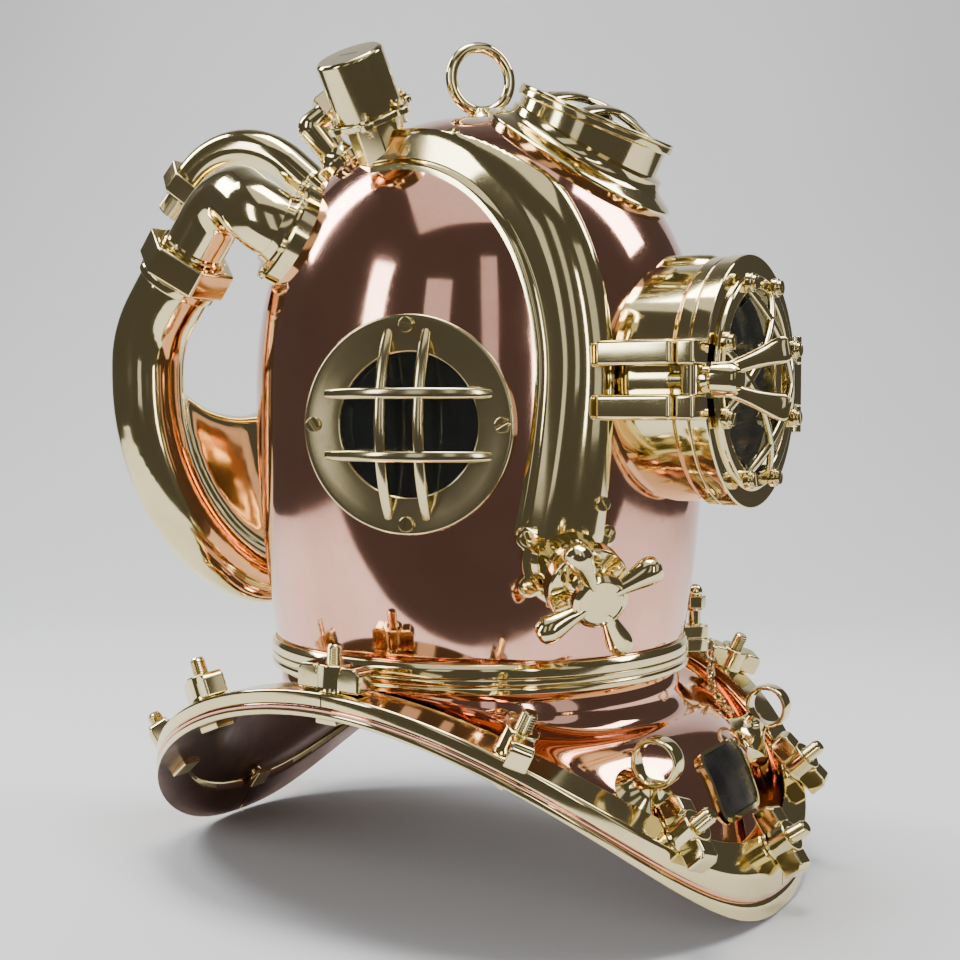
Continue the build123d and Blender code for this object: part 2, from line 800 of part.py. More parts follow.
def fork_room():
    """Space of the fork lugs, kept free of the exhaust channel."""
    face = bolt_plane * Rectangle(3 * fork_half_width, fork_gap + 2 * fork_lug_height)
    return extrude(face, amount=housing_front)


def face_gasket_room(extra):
    """Groove of the faceplate gasket, or the gasket itself."""
    return tube(face_plane, face_gasket_outer, face_gasket_inner, housing_front - face_gasket_thickness,
                housing_front + (overrun if extra else 0))


hinge_plane = facing((hinge_offset, -housing_front - moving_gap - door_thickness / 2, face_z), (0, 0, 1))
bolt_y = housing_front + moving_gap + door_thickness / 2
bolt_plane = facing((-fork_offset, 0, face_z), (0, -1, 0))


def fork_lugs():
    """Two level lugs beside the housing, with the tail of the wing bolt between them."""
    lugs = []
    for sign in (-1, 1):
        middle = sign * (fork_gap + fork_lug_height) / 2
        face = bolt_plane.offset(fork_back) * Pos(0, middle) * Rectangle(3 * fork_half_width, fork_lug_height)
        lugs.append(extrude(face, amount=housing_front - fork_back))
    return lugs


def hinge_arms():
    """Two arms on the housing that hold the hinge pin above and below the door's barrel."""
    arms = []
    for sign in (-1, 1):
        low = sign * (hinge_middle_half_height + moving_gap)
        high = sign * hinge_half_height
        barrel = disc(hinge_plane, hinge_barrel_radius, min(low, high), max(low, high))
        reach = hinge_offset - housing_radius / 2
        root = -hinge_plane.origin.Y - housing_front
        web = Pos(hinge_offset - reach / 2, -housing_front + hinge_arm_thickness / 2, face_z + (low + high) / 2)
        block = web * Box(reach, hinge_arm_thickness, abs(high - low))
        neck = Pos(hinge_offset, -housing_front - root / 2, face_z + (low + high) / 2)
        arms.append(barrel + block + neck * Box(hinge_barrel_radius, root + hinge_arm_thickness, abs(high - low)))
    return arms


def hinge_pin():
    """Pin of the door hinge."""
    return disc(hinge_plane, hinge_pin_radius, -hinge_half_height, hinge_half_height)


def faceplate_gasket():
    """Rubber ring that the door closes on."""
    return face_gasket_room(0)


door_plane = face_plane.offset(housing_front + moving_gap)


def faceplate_door():
    """Door ring with its hinge barrel and the slotted ear of the wing bolt."""
    ring = disc(door_plane, door_radius, 0, door_thickness)
    bezel = disc(door_plane, door_bezel_radius, door_thickness, door_thickness + door_bezel_height)
    half = hinge_middle_half_height
    barrel = disc(hinge_plane, hinge_barrel_radius, -half, half)
    arm_reach = hinge_offset - door_radius / 2
    arm = extrude(door_plane * Pos(hinge_offset - arm_reach / 2, 0) * Rectangle(arm_reach, 2 * half),
                  amount=door_thickness)
    ear_height = fork_gap + 2 * fork_lug_height
    ear = extrude(door_plane * Pos(-fork_offset + fork_half_width / 2, 0)
                  * Rectangle(3 * fork_half_width, ear_height), amount=door_thickness)
    body = joined([ring, bezel, barrel, arm, ear])
    body -= disc(door_plane, door_opening_radius, -overrun, door_thickness + door_bezel_height + overrun)
    body -= disc(door_plane, door_glass_radius, -overrun, door_glass_thickness)
    body -= disc(hinge_plane, hinge_pin_radius + shaft_gap, -half - overrun, half + overrun)
    hub_side = disc(hinge_plane, hinge_barrel_radius + moving_gap, half, hinge_half_height + moving_gap)
    body -= hub_side + mirror(hub_side, about=Plane.XY.offset(face_z))
    slot = extrude(door_plane * Pos(-fork_offset - fork_half_width / 2, 0)
                   * Rectangle(3 * fork_half_width, fork_gap), amount=door_thickness + overrun)
    keep = disc(door_plane, door_radius, -overrun, door_thickness + overrun)
    return body - (slot - keep) - trunnion_room()


def trunnion_room():
    """Upright hole of the trunnion through the prongs of the door's ear."""
    plane = facing((-fork_offset, -bolt_y, face_z), (0, 0, 1))
    half = fork_gap / 2 + fork_lug_height / 2
    return disc(plane, trunnion_radius / 2, -half, half)


def door_trunnion():
    """Block between the prongs of the ear, which the wing bolt is threaded through."""
    plane = facing((-fork_offset, -bolt_y, face_z), (0, 0, 1))
    half = fork_gap / 2
    pivot = half + fork_lug_height / 2
    body = disc(plane, trunnion_radius, -half, half) - disc(door_plane, door_radius, -overrun, door_thickness + overrun)
    body += disc(plane, trunnion_radius / 2, -pivot, pivot)
    return body - disc(bolt_plane, bolt_radius + shaft_gap, 0, 2 * bolt_y)


def faceplate_glass():
    """Round glass of the door."""
    return disc(door_plane, door_glass_radius, 0, door_glass_thickness)


def faceplate_guard():
    """Crossed bars over the glass, with a lug for a screw at each end."""
    top = door_plane.offset(door_thickness + door_bezel_height)
    half = sqrt(door_lug_reach ** 2 - cross_bar_offset ** 2)
    pieces = []
    for turn in (45, 135, 225, 315):
        bar = arched_bar(half, cross_rise, cross_bar_depth, cross_bar_width)
        pieces.append(top * Rot(0, 0, turn) * Pos(0, cross_bar_offset) * bar)
        for sign in (-1, 1):
            lug = top * Rot(0, 0, turn) * Pos(sign * half, cross_bar_offset)
            pieces.append(disc(Plane(lug), door_lug_radius, 0, cross_bar_depth))
    return joined(pieces)


def door_screws():
    """Cap screws on the lugs of the guard."""
    top = door_plane.offset(door_thickness + door_bezel_height + cross_bar_depth)
    half = sqrt(door_lug_reach ** 2 - cross_bar_offset ** 2)
    heads = []
    for turn in (45, 135, 225, 315):
        for sign in (-1, 1):
            place = top * Rot(0, 0, turn) * Pos(sign * half, cross_bar_offset)
            heads.append(screw(place))
    return heads


def wing_bolt():
    """Threaded bolt with a hub and two wings that spread forward."""
    face = bolt_y + trunnion_radius + moving_gap
    stem = disc(bolt_plane, bolt_radius, face - bolt_tail, face)
    collar = disc(bolt_plane, hub_collar_radius, face, face + hub_collar_length)
    hub = disc(bolt_plane, hub_radius, face + hub_collar_length, face + hub_length)
    side = Plane(origin=bolt_plane.offset(face + hub_length - wing_root).origin, x_dir=(0, -1, 0), z_dir=(-1, 0, 0))
    wings = []
    for sign in (-1, 1):
        outline = Polyline((0, 0), (wing_root, sign * wing_thickness), (wing_reach + wing_root, sign * wing_spread),
                           (wing_reach + wing_root, sign * (wing_spread - wing_thickness)), (wing_root, 0), close=True)
        wings.append(extrude(make_face(side * outline), amount=wing_width / 2, both=True))
    return joined([stem, collar, hub] + wings)


def lifting_ring():
    """Ring and boss on the crown."""
    boss = on_skin(disc(floor_plane, lift_boss_radius, dome_belly_z, dome_top_z + 2 * lift_boss_height), lift_boss_height)
    centre = dome_top_z + lift_boss_height + lift_ring_radius
    turn = Plane(origin=(0, 0, centre), x_dir=outward(90 + lift_ring_turn), z_dir=outward(lift_ring_turn))
    return boss + turn.location * Torus(lift_ring_radius, lift_wire_radius)


def channel_slab(extra):
    """Upright slab that holds the channel, wider by an extra on both sides."""
    width = channel_outer_x - channel_inner_x + 2 * extra
    middle = (channel_outer_x + channel_inner_x) / 2
    depth = dome_belly_radius + channel_height + channel_end_y
    height = dome_top_z - channel_foot_z
    low_corner = Pos(-middle, channel_end_y, channel_foot_z)
    return low_corner * Box(width, depth, height, align=(Align.CENTER, Align.MAX, Align.MIN))


def exhaust_channel():
    """Raised duct with side flanges that leads the exhaust over the crown."""
    body = on_skin(channel_slab(0), channel_height)
    flange = on_skin(channel_slab(channel_flange_width), channel_flange_thickness)
    rooms = [disc(second_plane, second_neck_radius, -second_neck_depth, overrun),
             disc(side_light_plane, light_flange_radius + moving_gap, 0, 2 * dome_belly_radius),
             extrude(saddle_face(), amount=housing_front), fork_room()]
    return (body + flange) - (rooms + valve_room())


second_plane = facing(second_valve_foot, second_valve_axis)


def second_valve_body():
    """Faceted neck on the crown with a lugged flange at its head."""
    neck = prism(second_plane, second_neck_radius, -second_neck_depth, -second_flange_thickness, 8) - dome_block
    flange = disc(second_plane, second_flange_radius, -second_flange_thickness, 0)
    ears = [disc(Plane(p), second_lug_radius, -second_flange_thickness, 0)
            for p in around(second_plane, second_lug_count, second_flange_radius)]
    return joined([neck, flange] + ears)


def second_valve_cap():
    """Plain cylinder with a slot in its top."""
    body = disc(second_plane, second_valve_radius, 0, second_valve_height)
    slot = extrude(second_plane.offset(second_valve_height - second_slot_depth)
                   * Rectangle(second_slot_length, second_slot_width), amount=second_slot_depth + overrun)
    return body - slot


def crown_place(azimuth, polar):
    """Point on the crown and the direction out of it."""
    axis = outward(azimuth, 90 - polar)
    return Vector(0, 0, crown_centre_z) + axis * crown_radius, axis


def bent_pipe(start, first, last, first_run, last_run, bend):
    """Path of two straight runs joined by an arc."""
    corner = start + first * (first_run + bend)
    end = corner + last * (bend + last_run)
    path = FilletPolyline(start, corner, end, radius=bend)
    return path, end


elbow_down = outward(180, -elbow_slope)


def elbow_path():
    """Centreline of the near canister elbow, from inside the bonnet's skin."""
    foot, axis = crown_place(elbow_azimuth, elbow_polar)
    corner = Vector(*elbow_corner)
    end = corner + elbow_down * elbow_last_run
    start = foot - axis * (elbow_flange_radius / 2)
    return FilletPolyline(start, foot + axis * elbow_first_run, corner, end, radius=elbow_bend_radius), end


elbow_line, elbow_end = elbow_path()
union_plane = facing(elbow_end, elbow_down).offset(-union_nut_height + union_nut_end_gap)
leg_plane = facing(elbow_end, elbow_down).offset(union_nut_end_gap + moving_gap)


def canister_elbow():
    """Hollow elbow with its screwed flange on the bonnet."""
    plane = facing(*crown_place(elbow_azimuth, elbow_polar))
    bore = elbow_pipe_radius - elbow_pipe_wall
    section = facing(elbow_line @ 0, elbow_line % 0)
    pipe = sweep(section * (Circle(elbow_pipe_radius) - Circle(bore)), path=elbow_line) - dome_block
    flange = tube(plane, elbow_flange_radius, bore, -crown_radius / 4, elbow_flange_thickness) - dome_block
    return flange + pipe


def elbow_screws():
    """Screws on the flange of one elbow."""
    foot, axis = crown_place(elbow_azimuth, elbow_polar)
    plane = facing(foot, axis).offset(elbow_flange_thickness)
    circle = elbow_flange_radius - screw_radius
    return [screw(p) for p in around(plane, elbow_screw_count, circle, 30)]


def union_nut():
    """Hex nut that turns on the end of the elbow."""
    nut = prism(union_plane, union_nut_radius, 0, union_nut_height)
    return nut - disc(union_plane, elbow_pipe_radius + shaft_gap, -overrun, union_nut_height + overrun)


def canister_leg():
    """One leg, from the collar under its nut down to the pouch."""
    start = leg_plane.origin
    collar = disc(leg_plane, canister_collar_radius, 0, canister_collar_height)
    corner = start + elbow_down * ((leg_back_y - start.Y) / elbow_down.Y)
    foot = Vector(corner.X, corner.Y, pouch_top_z)
    path = FilletPolyline(start, corner, foot, radius=leg_bend_radius)
    return collar + sweep(leg_plane * Circle(leg_radius), path=path)


def pouch():
    """Flat body behind the bonnet, which joins the two legs and leans in below."""
    top = Vector(0, leg_back_y, pouch_top_z)
    bend = Vector(0, leg_back_y, pouch_bend_z)
    lower = TangentArc(bend, Vector(0, *pouch_foot), tangent=(0, 0, -1))
    path = Wire([Line(top, bend), lower])
    half = -leg_plane.origin.X
    section = Plane(origin=top, x_dir=(1, 0, 0), z_dir=(0, 0, -1)) * SlotCenterToCenter(2 * half, 2 * leg_radius)
    body = sweep(section, path=path)
    end = body.faces().sort_by(Axis.Z)[0]
    return fillet(end.edges(), pouch_end_radius)


def canister():
    """The whole canister: both legs and the pouch between them."""
    leg = canister_leg()
    return joined([pouch(), leg, across(leg)])


def goose_line():
    """Centreline of the gas supply gooseneck, from inside the bonnet's skin."""
    foot, axis = crown_place(goose_azimuth, goose_polar)
    corner = foot + axis * goose_first_run
    start = foot - axis * (goose_flange_radius / 2)
    return FilletPolyline(start, corner, corner + goose_down * goose_last_run, radius=goose_bend_radius)


goose_down = outward(180, -goose_slope)
goose_path = goose_line()
goose_plane = facing(goose_path @ 1, goose_down)


def gooseneck():
    """Hollow bent pipe with its flange on the crown."""
    plane = facing(*crown_place(goose_azimuth, goose_polar))
    bore = goose_pipe_radius - goose_pipe_wall
    section = facing(goose_path @ 0, goose_path % 0)
    pipe = sweep(section * (Circle(goose_pipe_radius) - Circle(bore)), path=goose_path) - dome_block
    flange = tube(plane, goose_flange_radius, bore, -crown_radius / 4, goose_flange_thickness) - dome_block
    return flange + pipe


def goose_screws():
    """Screws of the gooseneck's flange."""
    plane = facing(*crown_place(goose_azimuth, goose_polar)).offset(goose_flange_thickness)
    circle = (goose_flange_radius + goose_pipe_radius) / 2
    return [screw(p) for p in around(plane, goose_screw_count, circle, 90)]


def goose_nut():
    """Hex nut that turns on the end of the gooseneck."""
    nut = prism(goose_plane, goose_nut_radius, -goose_nut_height, 0)
    return nut - disc(goose_plane, goose_pipe_radius + shaft_gap, -goose_nut_height - overrun, overrun)


def gas_inlet():
    """Threaded inlet below the nut, where the gas hose is screwed on."""
    inner = goose_pipe_radius - goose_pipe_wall
    collar = tube(goose_plane, goose_pipe_radius, inlet_radius / 2, 0, goose_pipe_wall)
    pipe = tube(goose_plane, inlet_radius, inlet_radius / 2, 0, inlet_length + goose_pipe_wall)
    plug = tube(goose_plane, inner, inlet_radius / 2, -goose_nut_height / 2, 0)
    return joined([collar, pipe, plug])


def telephone_gland():
    """Flanged elbow whose short arm ends in a hex block, for the telephone cable."""
    foot, axis = crown_place(gland_azimuth, gland_polar)
    plane = facing(foot, axis)
    depth = crown_radius / 4
    flange = on_skin(disc(plane, gland_flange_radius, -depth, depth), gland_flange_thickness)
    post = disc(plane, gland_post_radius, -depth, gland_post_height) - dome_block
    head = plane.offset(gland_post_height)
    arm_plane = Plane(origin=head.origin, x_dir=head.x_dir, z_dir=head.y_dir)
    ball = head.location * Sphere(gland_post_radius)
    arm = disc(arm_plane, gland_post_radius, 0, gland_arm_reach)
    block = prism(arm_plane, gland_hex_radius, gland_arm_reach, gland_arm_reach + gland_hex_height)
    return joined([flange, post, ball, arm, block])


valve_axis = outward(valve_azimuth, -valve_dip)
valve_plane = facing(outward(valve_azimuth) * valve_reach + Vector(0, 0, valve_z), valve_axis)
seat_depth = valve_body_depth - valve_seat_thickness


def valve_bore():
    """Hole of the exhaust valve through the bonnet shell."""
    return disc(valve_plane, valve_body_radius, -valve_body_depth, overrun)


def valve_ears(extra, thickness):
    """Ears of the valve's pad, grown by an extra."""
    planes = [Plane(valve_plane * Rot(0, 0, angle) * Pos(valve_pad_radius, 0)) for angle in valve_ear_angles]
    return [on_skin(disc(p, valve_ear_radius + extra, -valve_body_depth, valve_body_depth), thickness)
            for p in planes]


def valve_room():
    """Spaces over the pad of the exhaust valve, kept free of the channel."""
    pad = disc(valve_plane, valve_pad_radius + moving_gap, -valve_body_depth, valve_body_depth)
    return [pad] + valve_ears(moving_gap, channel_height + overrun)


def exhaust_valve_body():
    """Hollow body with its eared pad on the bonnet and the seat of the disc."""
    half = valve_bonnet_height / 2
    body = tube(valve_plane, valve_body_radius, valve_body_bore, -valve_body_depth, -half)
    seat = tube(valve_plane, valve_body_bore + overrun, valve_seat_bore, -valve_body_depth, -seat_depth)
    pad = on_skin(disc(valve_plane, valve_pad_radius, -valve_body_depth, 0), valve_pad_thickness)
    bore = disc(valve_plane, valve_body_bore, -valve_body_depth, overrun)
    ears = valve_ears(0, valve_pad_thickness)
    return joined([body, seat] + [piece - bore for piece in [pad] + ears])


def exhaust_valve_bonnet():
    """Round cap on the valve body, with the neck that the hand wheel turns on."""
    half = valve_bonnet_height / 2
    cap = disc(valve_plane, valve_bonnet_radius, -half, half)
    neck = disc(valve_plane, valve_neck_radius, half, half + valve_neck_height)
    return cap + neck - disc(valve_plane, valve_stem_radius + shaft_gap, -half - overrun,
                             half + valve_neck_height + overrun)


def valve_screws():
    """Screws round the valve's cap."""
    circle = valve_bonnet_radius - screw_radius - overrun
    return [screw(p) for p in around(valve_plane.offset(valve_bonnet_height / 2), valve_screw_count, circle, 30)]


def hand_wheel():
    """Blank hub on the stem, with four club-shaped arms."""
    half = valve_bonnet_height / 2
    low = half + valve_neck_height + moving_gap
    hub = disc(valve_plane, wheel_hub_radius, low, low + wheel_hub_height)
    stem = disc(valve_plane, valve_stem_radius, -half, low)
    middle = valve_plane.offset(low + wheel_hub_height / 2)
    clubs = []
    for i in range(wheel_arm_count):
        turn = wheel_arm_turn + 360 * i / wheel_arm_count
        place = middle * Rot(0, 0, turn) * Rot(0, 90, 0)
        end = wheel_arm_reach - wheel_arm_end_radius
        arm = Pos(0, 0, end / 2) * Cone(wheel_arm_root_radius, wheel_arm_end_radius, end)
        clubs.append(place * (arm + Pos(0, 0, end) * Sphere(wheel_arm_end_radius)))
    return joined([hub, stem] + clubs)


def exhaust_disc():
    """Disc that closes on the seat inside the valve, with its stem."""
    body = disc(valve_plane, exhaust_disc_radius, -seat_depth + moving_gap,
                -seat_depth + moving_gap + exhaust_disc_thickness)
    return body + disc(valve_plane, chin_stem_radius, -valve_body_depth - chin_button_reach, -seat_depth + moving_gap)


def chin_button():
    """Button on the inner end of the stem, which the diver's chin pushes."""
    low = -valve_body_depth - chin_button_reach - chin_button_thickness
    return disc(valve_plane, chin_button_radius, low, low + chin_button_thickness)


def bonnet_shell():
    """Copper dome with the holes of its lights, faceplate, valves and pipes."""
    shell = dome_block - dome_hollow
    right = disc(side_light_plane, light_seat_radius, light_seat_start - overrun, 2 * dome_belly_radius)
    holes = [right, across(right), valve_bore(), disc(face_plane, housing_bore, 0, housing_front),
             disc(top_light_plane, top_light_opening_radius, -top_light_height * 3, overrun)]
    return shell - holes


def write(name, shape):
    """Writes one node."""
    export_step(shape, os.path.join("parts", name + ".step"))


def main():
    os.makedirs("parts", exist_ok=True)
    holes = stud_holes()
    nodes = {
        "breastplate_shell": breastplate_shell(holes),
        "breastplate_rim": rim_band(arch_radius, rim_top_radius) - holes,
        "rim_studs": rim_studs(),
        "wing_nuts": wing_nuts(),
        "breastplate_ring": breastplate_ring(),
        "neck_gasket": neck_gasket(),
        "padeye_right": padeye(),
        "padeye_left": across(padeye()),
        "lock_chain": chain(),
        "bonnet_shell": bonnet_shell(),
        "bonnet_ring": bonnet_ring(),
        "side_light_seat_right": side_light_seat(),
        "side_light_seat_left": across(side_light_seat()),
        "side_light_glass_right": side_light_glass(),
        "side_light_glass_left": across(side_light_glass()),
        "side_light_guard_right": side_light_guard(),
        "side_light_guard_left": across(side_light_guard()),
        "side_light_screws": group(side_light_screws() + [across(s) for s in side_light_screws()]),
        "top_light_housing": top_light_housing(),
        "top_light_glass": top_light_glass(),
        "top_light_guard": top_light_guard(),
        "faceplate_housing": faceplate_housing(),
        "faceplate_gasket": faceplate_gasket(),
        "hinge_pin": hinge_pin(),
        "faceplate_door": faceplate_door(),
        "faceplate_glass": faceplate_glass(),
        "faceplate_guard": faceplate_guard(),
        "door_trunnion": door_trunnion(),
        "wing_bolt": wing_bolt(),
        "lifting_ring": lifting_ring(),
        "exhaust_channel": exhaust_channel(),
        "elbow_screws": group(elbow_screws() + [across(s) for s in elbow_screws()]),
        "gooseneck_screws": group(goose_screws()),
        "door_screws": group(door_screws()),
        "exhaust_valve_screws": group(valve_screws()),
        "second_valve_body": second_valve_body(),
        "second_valve_cap": second_valve_cap(),
        "canister_elbow_right": canister_elbow(),
        "canister_elbow_left": across(canister_elbow()),
        "union_nut_right": union_nut(),
        "union_nut_left": across(union_nut()),
        "canister": canister(),
        "gooseneck": gooseneck(),
        "gooseneck_nut": goose_nut(),
        "gas_inlet": gas_inlet(),
        "telephone_gland": telephone_gland(),
        "exhaust_valve_body": exhaust_valve_body(),
        "exhaust_valve_bonnet": exhaust_valve_bonnet(),
        "hand_wheel": hand_wheel(),
        "exhaust_disc": exhaust_disc(),
        "chin_button": chin_button(),
        "lock_pin": lock_pin(),
    }
    nodes["name_plate"], nodes["name_plate_face"] = name_plate()
    nodes.update(brails(holes))
    for name, shape in nodes.items():
        write(name, shape)


main()
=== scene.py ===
"""Dressed model of a mixed-gas diving helmet: its pieces, its finishes, the studio and the camera."""

import json
import logging
from bisect import bisect_left
from collections.abc import Callable, Sequence
from dataclasses import dataclass
from enum import Enum
from functools import cached_property
from math import asin, atan2, cos, hypot, pi, radians, sin, sqrt, tan, tau

import bmesh
import bpy
from mathutils import Matrix, Vector
from mathutils.geometry import interpolate_bezier

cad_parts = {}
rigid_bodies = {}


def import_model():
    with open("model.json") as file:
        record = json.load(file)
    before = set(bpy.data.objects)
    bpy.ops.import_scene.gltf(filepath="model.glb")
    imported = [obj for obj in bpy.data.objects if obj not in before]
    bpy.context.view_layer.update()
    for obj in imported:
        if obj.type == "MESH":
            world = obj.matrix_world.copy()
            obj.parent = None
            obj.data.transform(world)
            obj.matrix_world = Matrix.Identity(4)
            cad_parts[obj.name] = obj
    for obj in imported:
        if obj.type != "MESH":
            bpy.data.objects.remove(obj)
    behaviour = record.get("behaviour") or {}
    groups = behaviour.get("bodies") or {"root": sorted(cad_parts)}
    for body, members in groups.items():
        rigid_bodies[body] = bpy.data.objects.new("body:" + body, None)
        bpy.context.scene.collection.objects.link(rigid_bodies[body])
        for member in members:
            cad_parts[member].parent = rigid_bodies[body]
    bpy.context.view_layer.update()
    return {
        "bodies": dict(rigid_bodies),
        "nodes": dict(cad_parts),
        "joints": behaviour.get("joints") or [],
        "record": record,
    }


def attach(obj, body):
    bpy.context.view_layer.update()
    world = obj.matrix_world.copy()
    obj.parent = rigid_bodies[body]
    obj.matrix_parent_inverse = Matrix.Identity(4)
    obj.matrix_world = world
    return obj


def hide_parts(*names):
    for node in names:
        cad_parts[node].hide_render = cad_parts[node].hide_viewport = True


log = logging.getLogger("helmet")

MM = 0.001
UP = Vector((0.0, 0.0, 1.0))
FORWARD = Vector((0.0, -1.0, 0.0))
MIRROR = Matrix.Scale(-1, 4, (1, 0, 0))
Pairs = Sequence[tuple[float, float]]
Outline = list[tuple[float, float]]
Colour = tuple[float, float, float]


class Body(Enum):
    """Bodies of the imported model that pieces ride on."""

    BREASTPLATE = "breastplate"
    BONNET = "bonnet"
    DOOR = "door"
    WING_BOLT = "wing_bolt"
    HAND_WHEEL = "hand_wheel"
    UNION_NUT_RIGHT = "union_nut_right"
    UNION_NUT_LEFT = "union_nut_left"
    GOOSENECK_NUT = "gooseneck_nut"
    LOCK_PIN = "lock_pin"


class Slot(Enum):
    """Material slots of the record."""

    COPPER = "copper"
    BRASS = "brass"
    GLASS = "glass"
    ENAMEL = "black_enamel"
    LEATHER = "leather"
    RUBBER = "rubber"


# ---------------------------------------------------------------- shaders


class Value:
    """Output of a shader node that plain arithmetic turns into Math nodes."""

    def __init__(self, shader: "Shader", socket: bpy.types.NodeSocket) -> None:
        """Keeps the socket and the shader that it belongs to."""
        self.shader = shader
        self.socket = socket

    def _math(self, operation: str, first: "Value | float", second: "Value | float") -> "Value":
        """One Math node with two inputs."""
        return self.shader.node("Math", {"operation": operation}, {0: first, 1: second})

    def __add__(self, other: "Value | float") -> "Value":
        """Sum."""
        return self._math("ADD", self, other)

    __radd__ = __add__

    def __sub__(self, other: "Value | float") -> "Value":
        """Difference."""
        return self._math("SUBTRACT", self, other)

    def __rsub__(self, other: "Value | float") -> "Value":
        """Difference from a number."""
        return self._math("SUBTRACT", other, self)

    def __mul__(self, other: "Value | float") -> "Value":
        """Product."""
        return self._math("MULTIPLY", self, other)

    __rmul__ = __mul__

    def __truediv__(self, other: "Value | float") -> "Value":
        """Quotient."""
        return self._math("DIVIDE", self, other)

    def __pow__(self, other: "Value | float") -> "Value":
        """Power."""
        return self._math("POWER", self, other)

    def spread(self, low: float, high: float) -> "Value":
        """Stretches the range between two values to 0 and 1, and holds it there."""
        return self.shader.node("MapRange", {"clamp": True}, {"Value": self, "From Min": low, "From Max": high})


class Shader:
    """Node tree of one material around a Principled shader."""

    def __init__(self, name: str) -> None:
        """Makes the material with its shader and its Object coordinates."""
        self.material = bpy.data.materials.new(name)
        self.material.use_nodes = True
        self.tree = self.material.node_tree
        self.tree.nodes.clear()
        self.surface = self.tree.nodes.new("ShaderNodeBsdfPrincipled")
        output = self.tree.nodes.new("ShaderNodeOutputMaterial")
        self.tree.links.new(self.surface.outputs[0], output.inputs[0])
        self.place = self.node("TexCoord", output="Object")

    def node(self, kind: str, settings: dict | None = None, inputs: dict | None = None,
             output: int | str = 0) -> Value:
        """Adds a node of any type.

        Args:
            kind: Node type without its ShaderNode prefix.
            settings: Properties, set before the inputs.
            inputs: Values or links by input name or number.
            output: Output that is handed back.

        Returns:
            The chosen output.
        """
        node = self.tree.nodes.new("ShaderNode" + kind)
        for key, setting in (settings or {}).items():
            setattr(node, key, setting)
        for key, value in (inputs or {}).items():
            self.feed(node.inputs[key], value)
        return Value(self, node.outputs[output])

    def feed(self, socket: bpy.types.NodeSocket, value: object) -> None:
        """Links a Value to a socket, or sets a constant on it."""
        if isinstance(value, Value):
            self.tree.links.new(value.socket, socket)
        else:
            socket.default_value = value

    def set(self, **values: object) -> None:
        """Sets inputs of the Principled shader; an underscore stands for a space."""
        for key, value in values.items():
            self.feed(self.surface.inputs[key.replace("_", " ")], value)

    def noise(self, scale: float, detail: float = 2.0, stretch: tuple = (1.0, 1.0, 1.0)) -> Value:
        """Noise in object space, per metre, stretched along the axes."""
        place = self.node("Mapping", {}, {"Vector": self.place, "Scale": stretch})
        return self.node("TexNoise", {}, {"Vector": place, "Scale": scale, "Detail": detail})

    def blend(self, share: Value, first: tuple, second: tuple | Value) -> Value:
        """Mixes two colours by a share."""
        return self.node("Mix", {"data_type": "RGBA"}, {0: share, 6: first, 7: second}, output=2)

    def bump(self, height: Value, depth_mm: float) -> Value:
        """Bump of a height field that is a number of millimetres deep."""
        return self.node("Bump", {}, {"Strength": 1.0, "Distance": depth_mm * MM, "Height": height})


@dataclass(frozen=True)
class Metal:
    """Polished metal with light tarnish, hand-polished waviness and faint scratches."""

    name: str
    bright: Colour
    tarnish: Colour
    tarnish_share: float = 0.35
    roughness: float = 0.07
    roughness_spread: float = 0.08
    wave_mm: float = 0.06
    scratch_mm: float = 0.002

    def material(self) -> bpy.types.Material:
        """Builds the material."""
        shader = Shader(self.name)
        cloud = shader.noise(22.0, 4.0).spread(0.42, 0.72)
        specks = shader.noise(260.0, 3.0).spread(0.55, 0.8)
        mask = (cloud * 0.7 + specks * 0.3) * self.tarnish_share
        along, across = shader.noise(900.0, 2.0, (1.0, 0.06, 0.4)), shader.noise(700.0, 2.0, (0.08, 1.0, 0.9))
        scratches = along * 0.5 + across * 0.5
        waves = shader.noise(28.0, 1.0)
        height = waves * self.wave_mm + scratches * self.scratch_mm
        shader.set(Base_Color=shader.blend(mask, self.bright + (1.0,), self.tarnish + (1.0,)),
                   Metallic=1.0, Roughness=cloud * self.roughness_spread + specks * 0.03 + self.roughness,
                   Normal=shader.bump(height, 1.0))
        return shader.material


@dataclass(frozen=True)
class Pane:
    """Thick clear glass with a near-black, part opaque tint: painted shade of the dark inside seen through it."""

    name: str = "window_glass"
    painted_inside_shade: Colour = (0.02, 0.026, 0.024)
    alpha: float = 0.6

    def material(self) -> bpy.types.Material:
        """Builds the material."""
        shader = Shader(self.name)
        smear = shader.noise(60.0, 3.0).spread(0.45, 0.8)
        # The near-black colour and the alpha darken the glass: painted shade of the helmet's inside behind it.
        shader.set(Base_Color=self.painted_inside_shade + (1.0,), Roughness=smear * 0.05 + 0.015,
                   Alpha=smear * 0.08 + self.alpha, Coat_Weight=1.0, IOR=1.5)
        return shader.material


@dataclass(frozen=True)
class Coated:
    """Enamel, leather or rubber: a colour that varies over a grained surface."""

    name: str
    light: Colour
    dark: Colour
    roughness: float
    grain_scale: float
    grain_mm: float

    def material(self) -> bpy.types.Material:
        """Builds the material."""
        shader = Shader(self.name)
        patch = shader.noise(45.0, 4.0).spread(0.35, 0.7)
        grain = shader.noise(self.grain_scale, 3.0)
        shader.set(Base_Color=shader.blend(patch, self.light + (1.0,), self.dark + (1.0,)),
                   Roughness=patch * 0.12 + self.roughness, Normal=shader.bump(grain, self.grain_mm))
        return shader.material


@dataclass(frozen=True)
class Matt:
    """Pale studio paper."""

    name: str
    tone: Colour

    def material(self) -> bpy.types.Material:
        """Builds the material."""
        shader = Shader(self.name)
        mottle = shader.noise(3.0, 3.0).spread(0.2, 0.8)
        deep = tuple(0.96 * c for c in self.tone) + (1.0,)
        shader.set(Base_Color=shader.blend(mottle, self.tone + (1.0,), deep), Roughness=0.75)
        return shader.material


@dataclass(frozen=True)
class Finish:
    """Material of a piece, and the record's slot that it shows."""

    material: bpy.types.Material
    slot: Slot


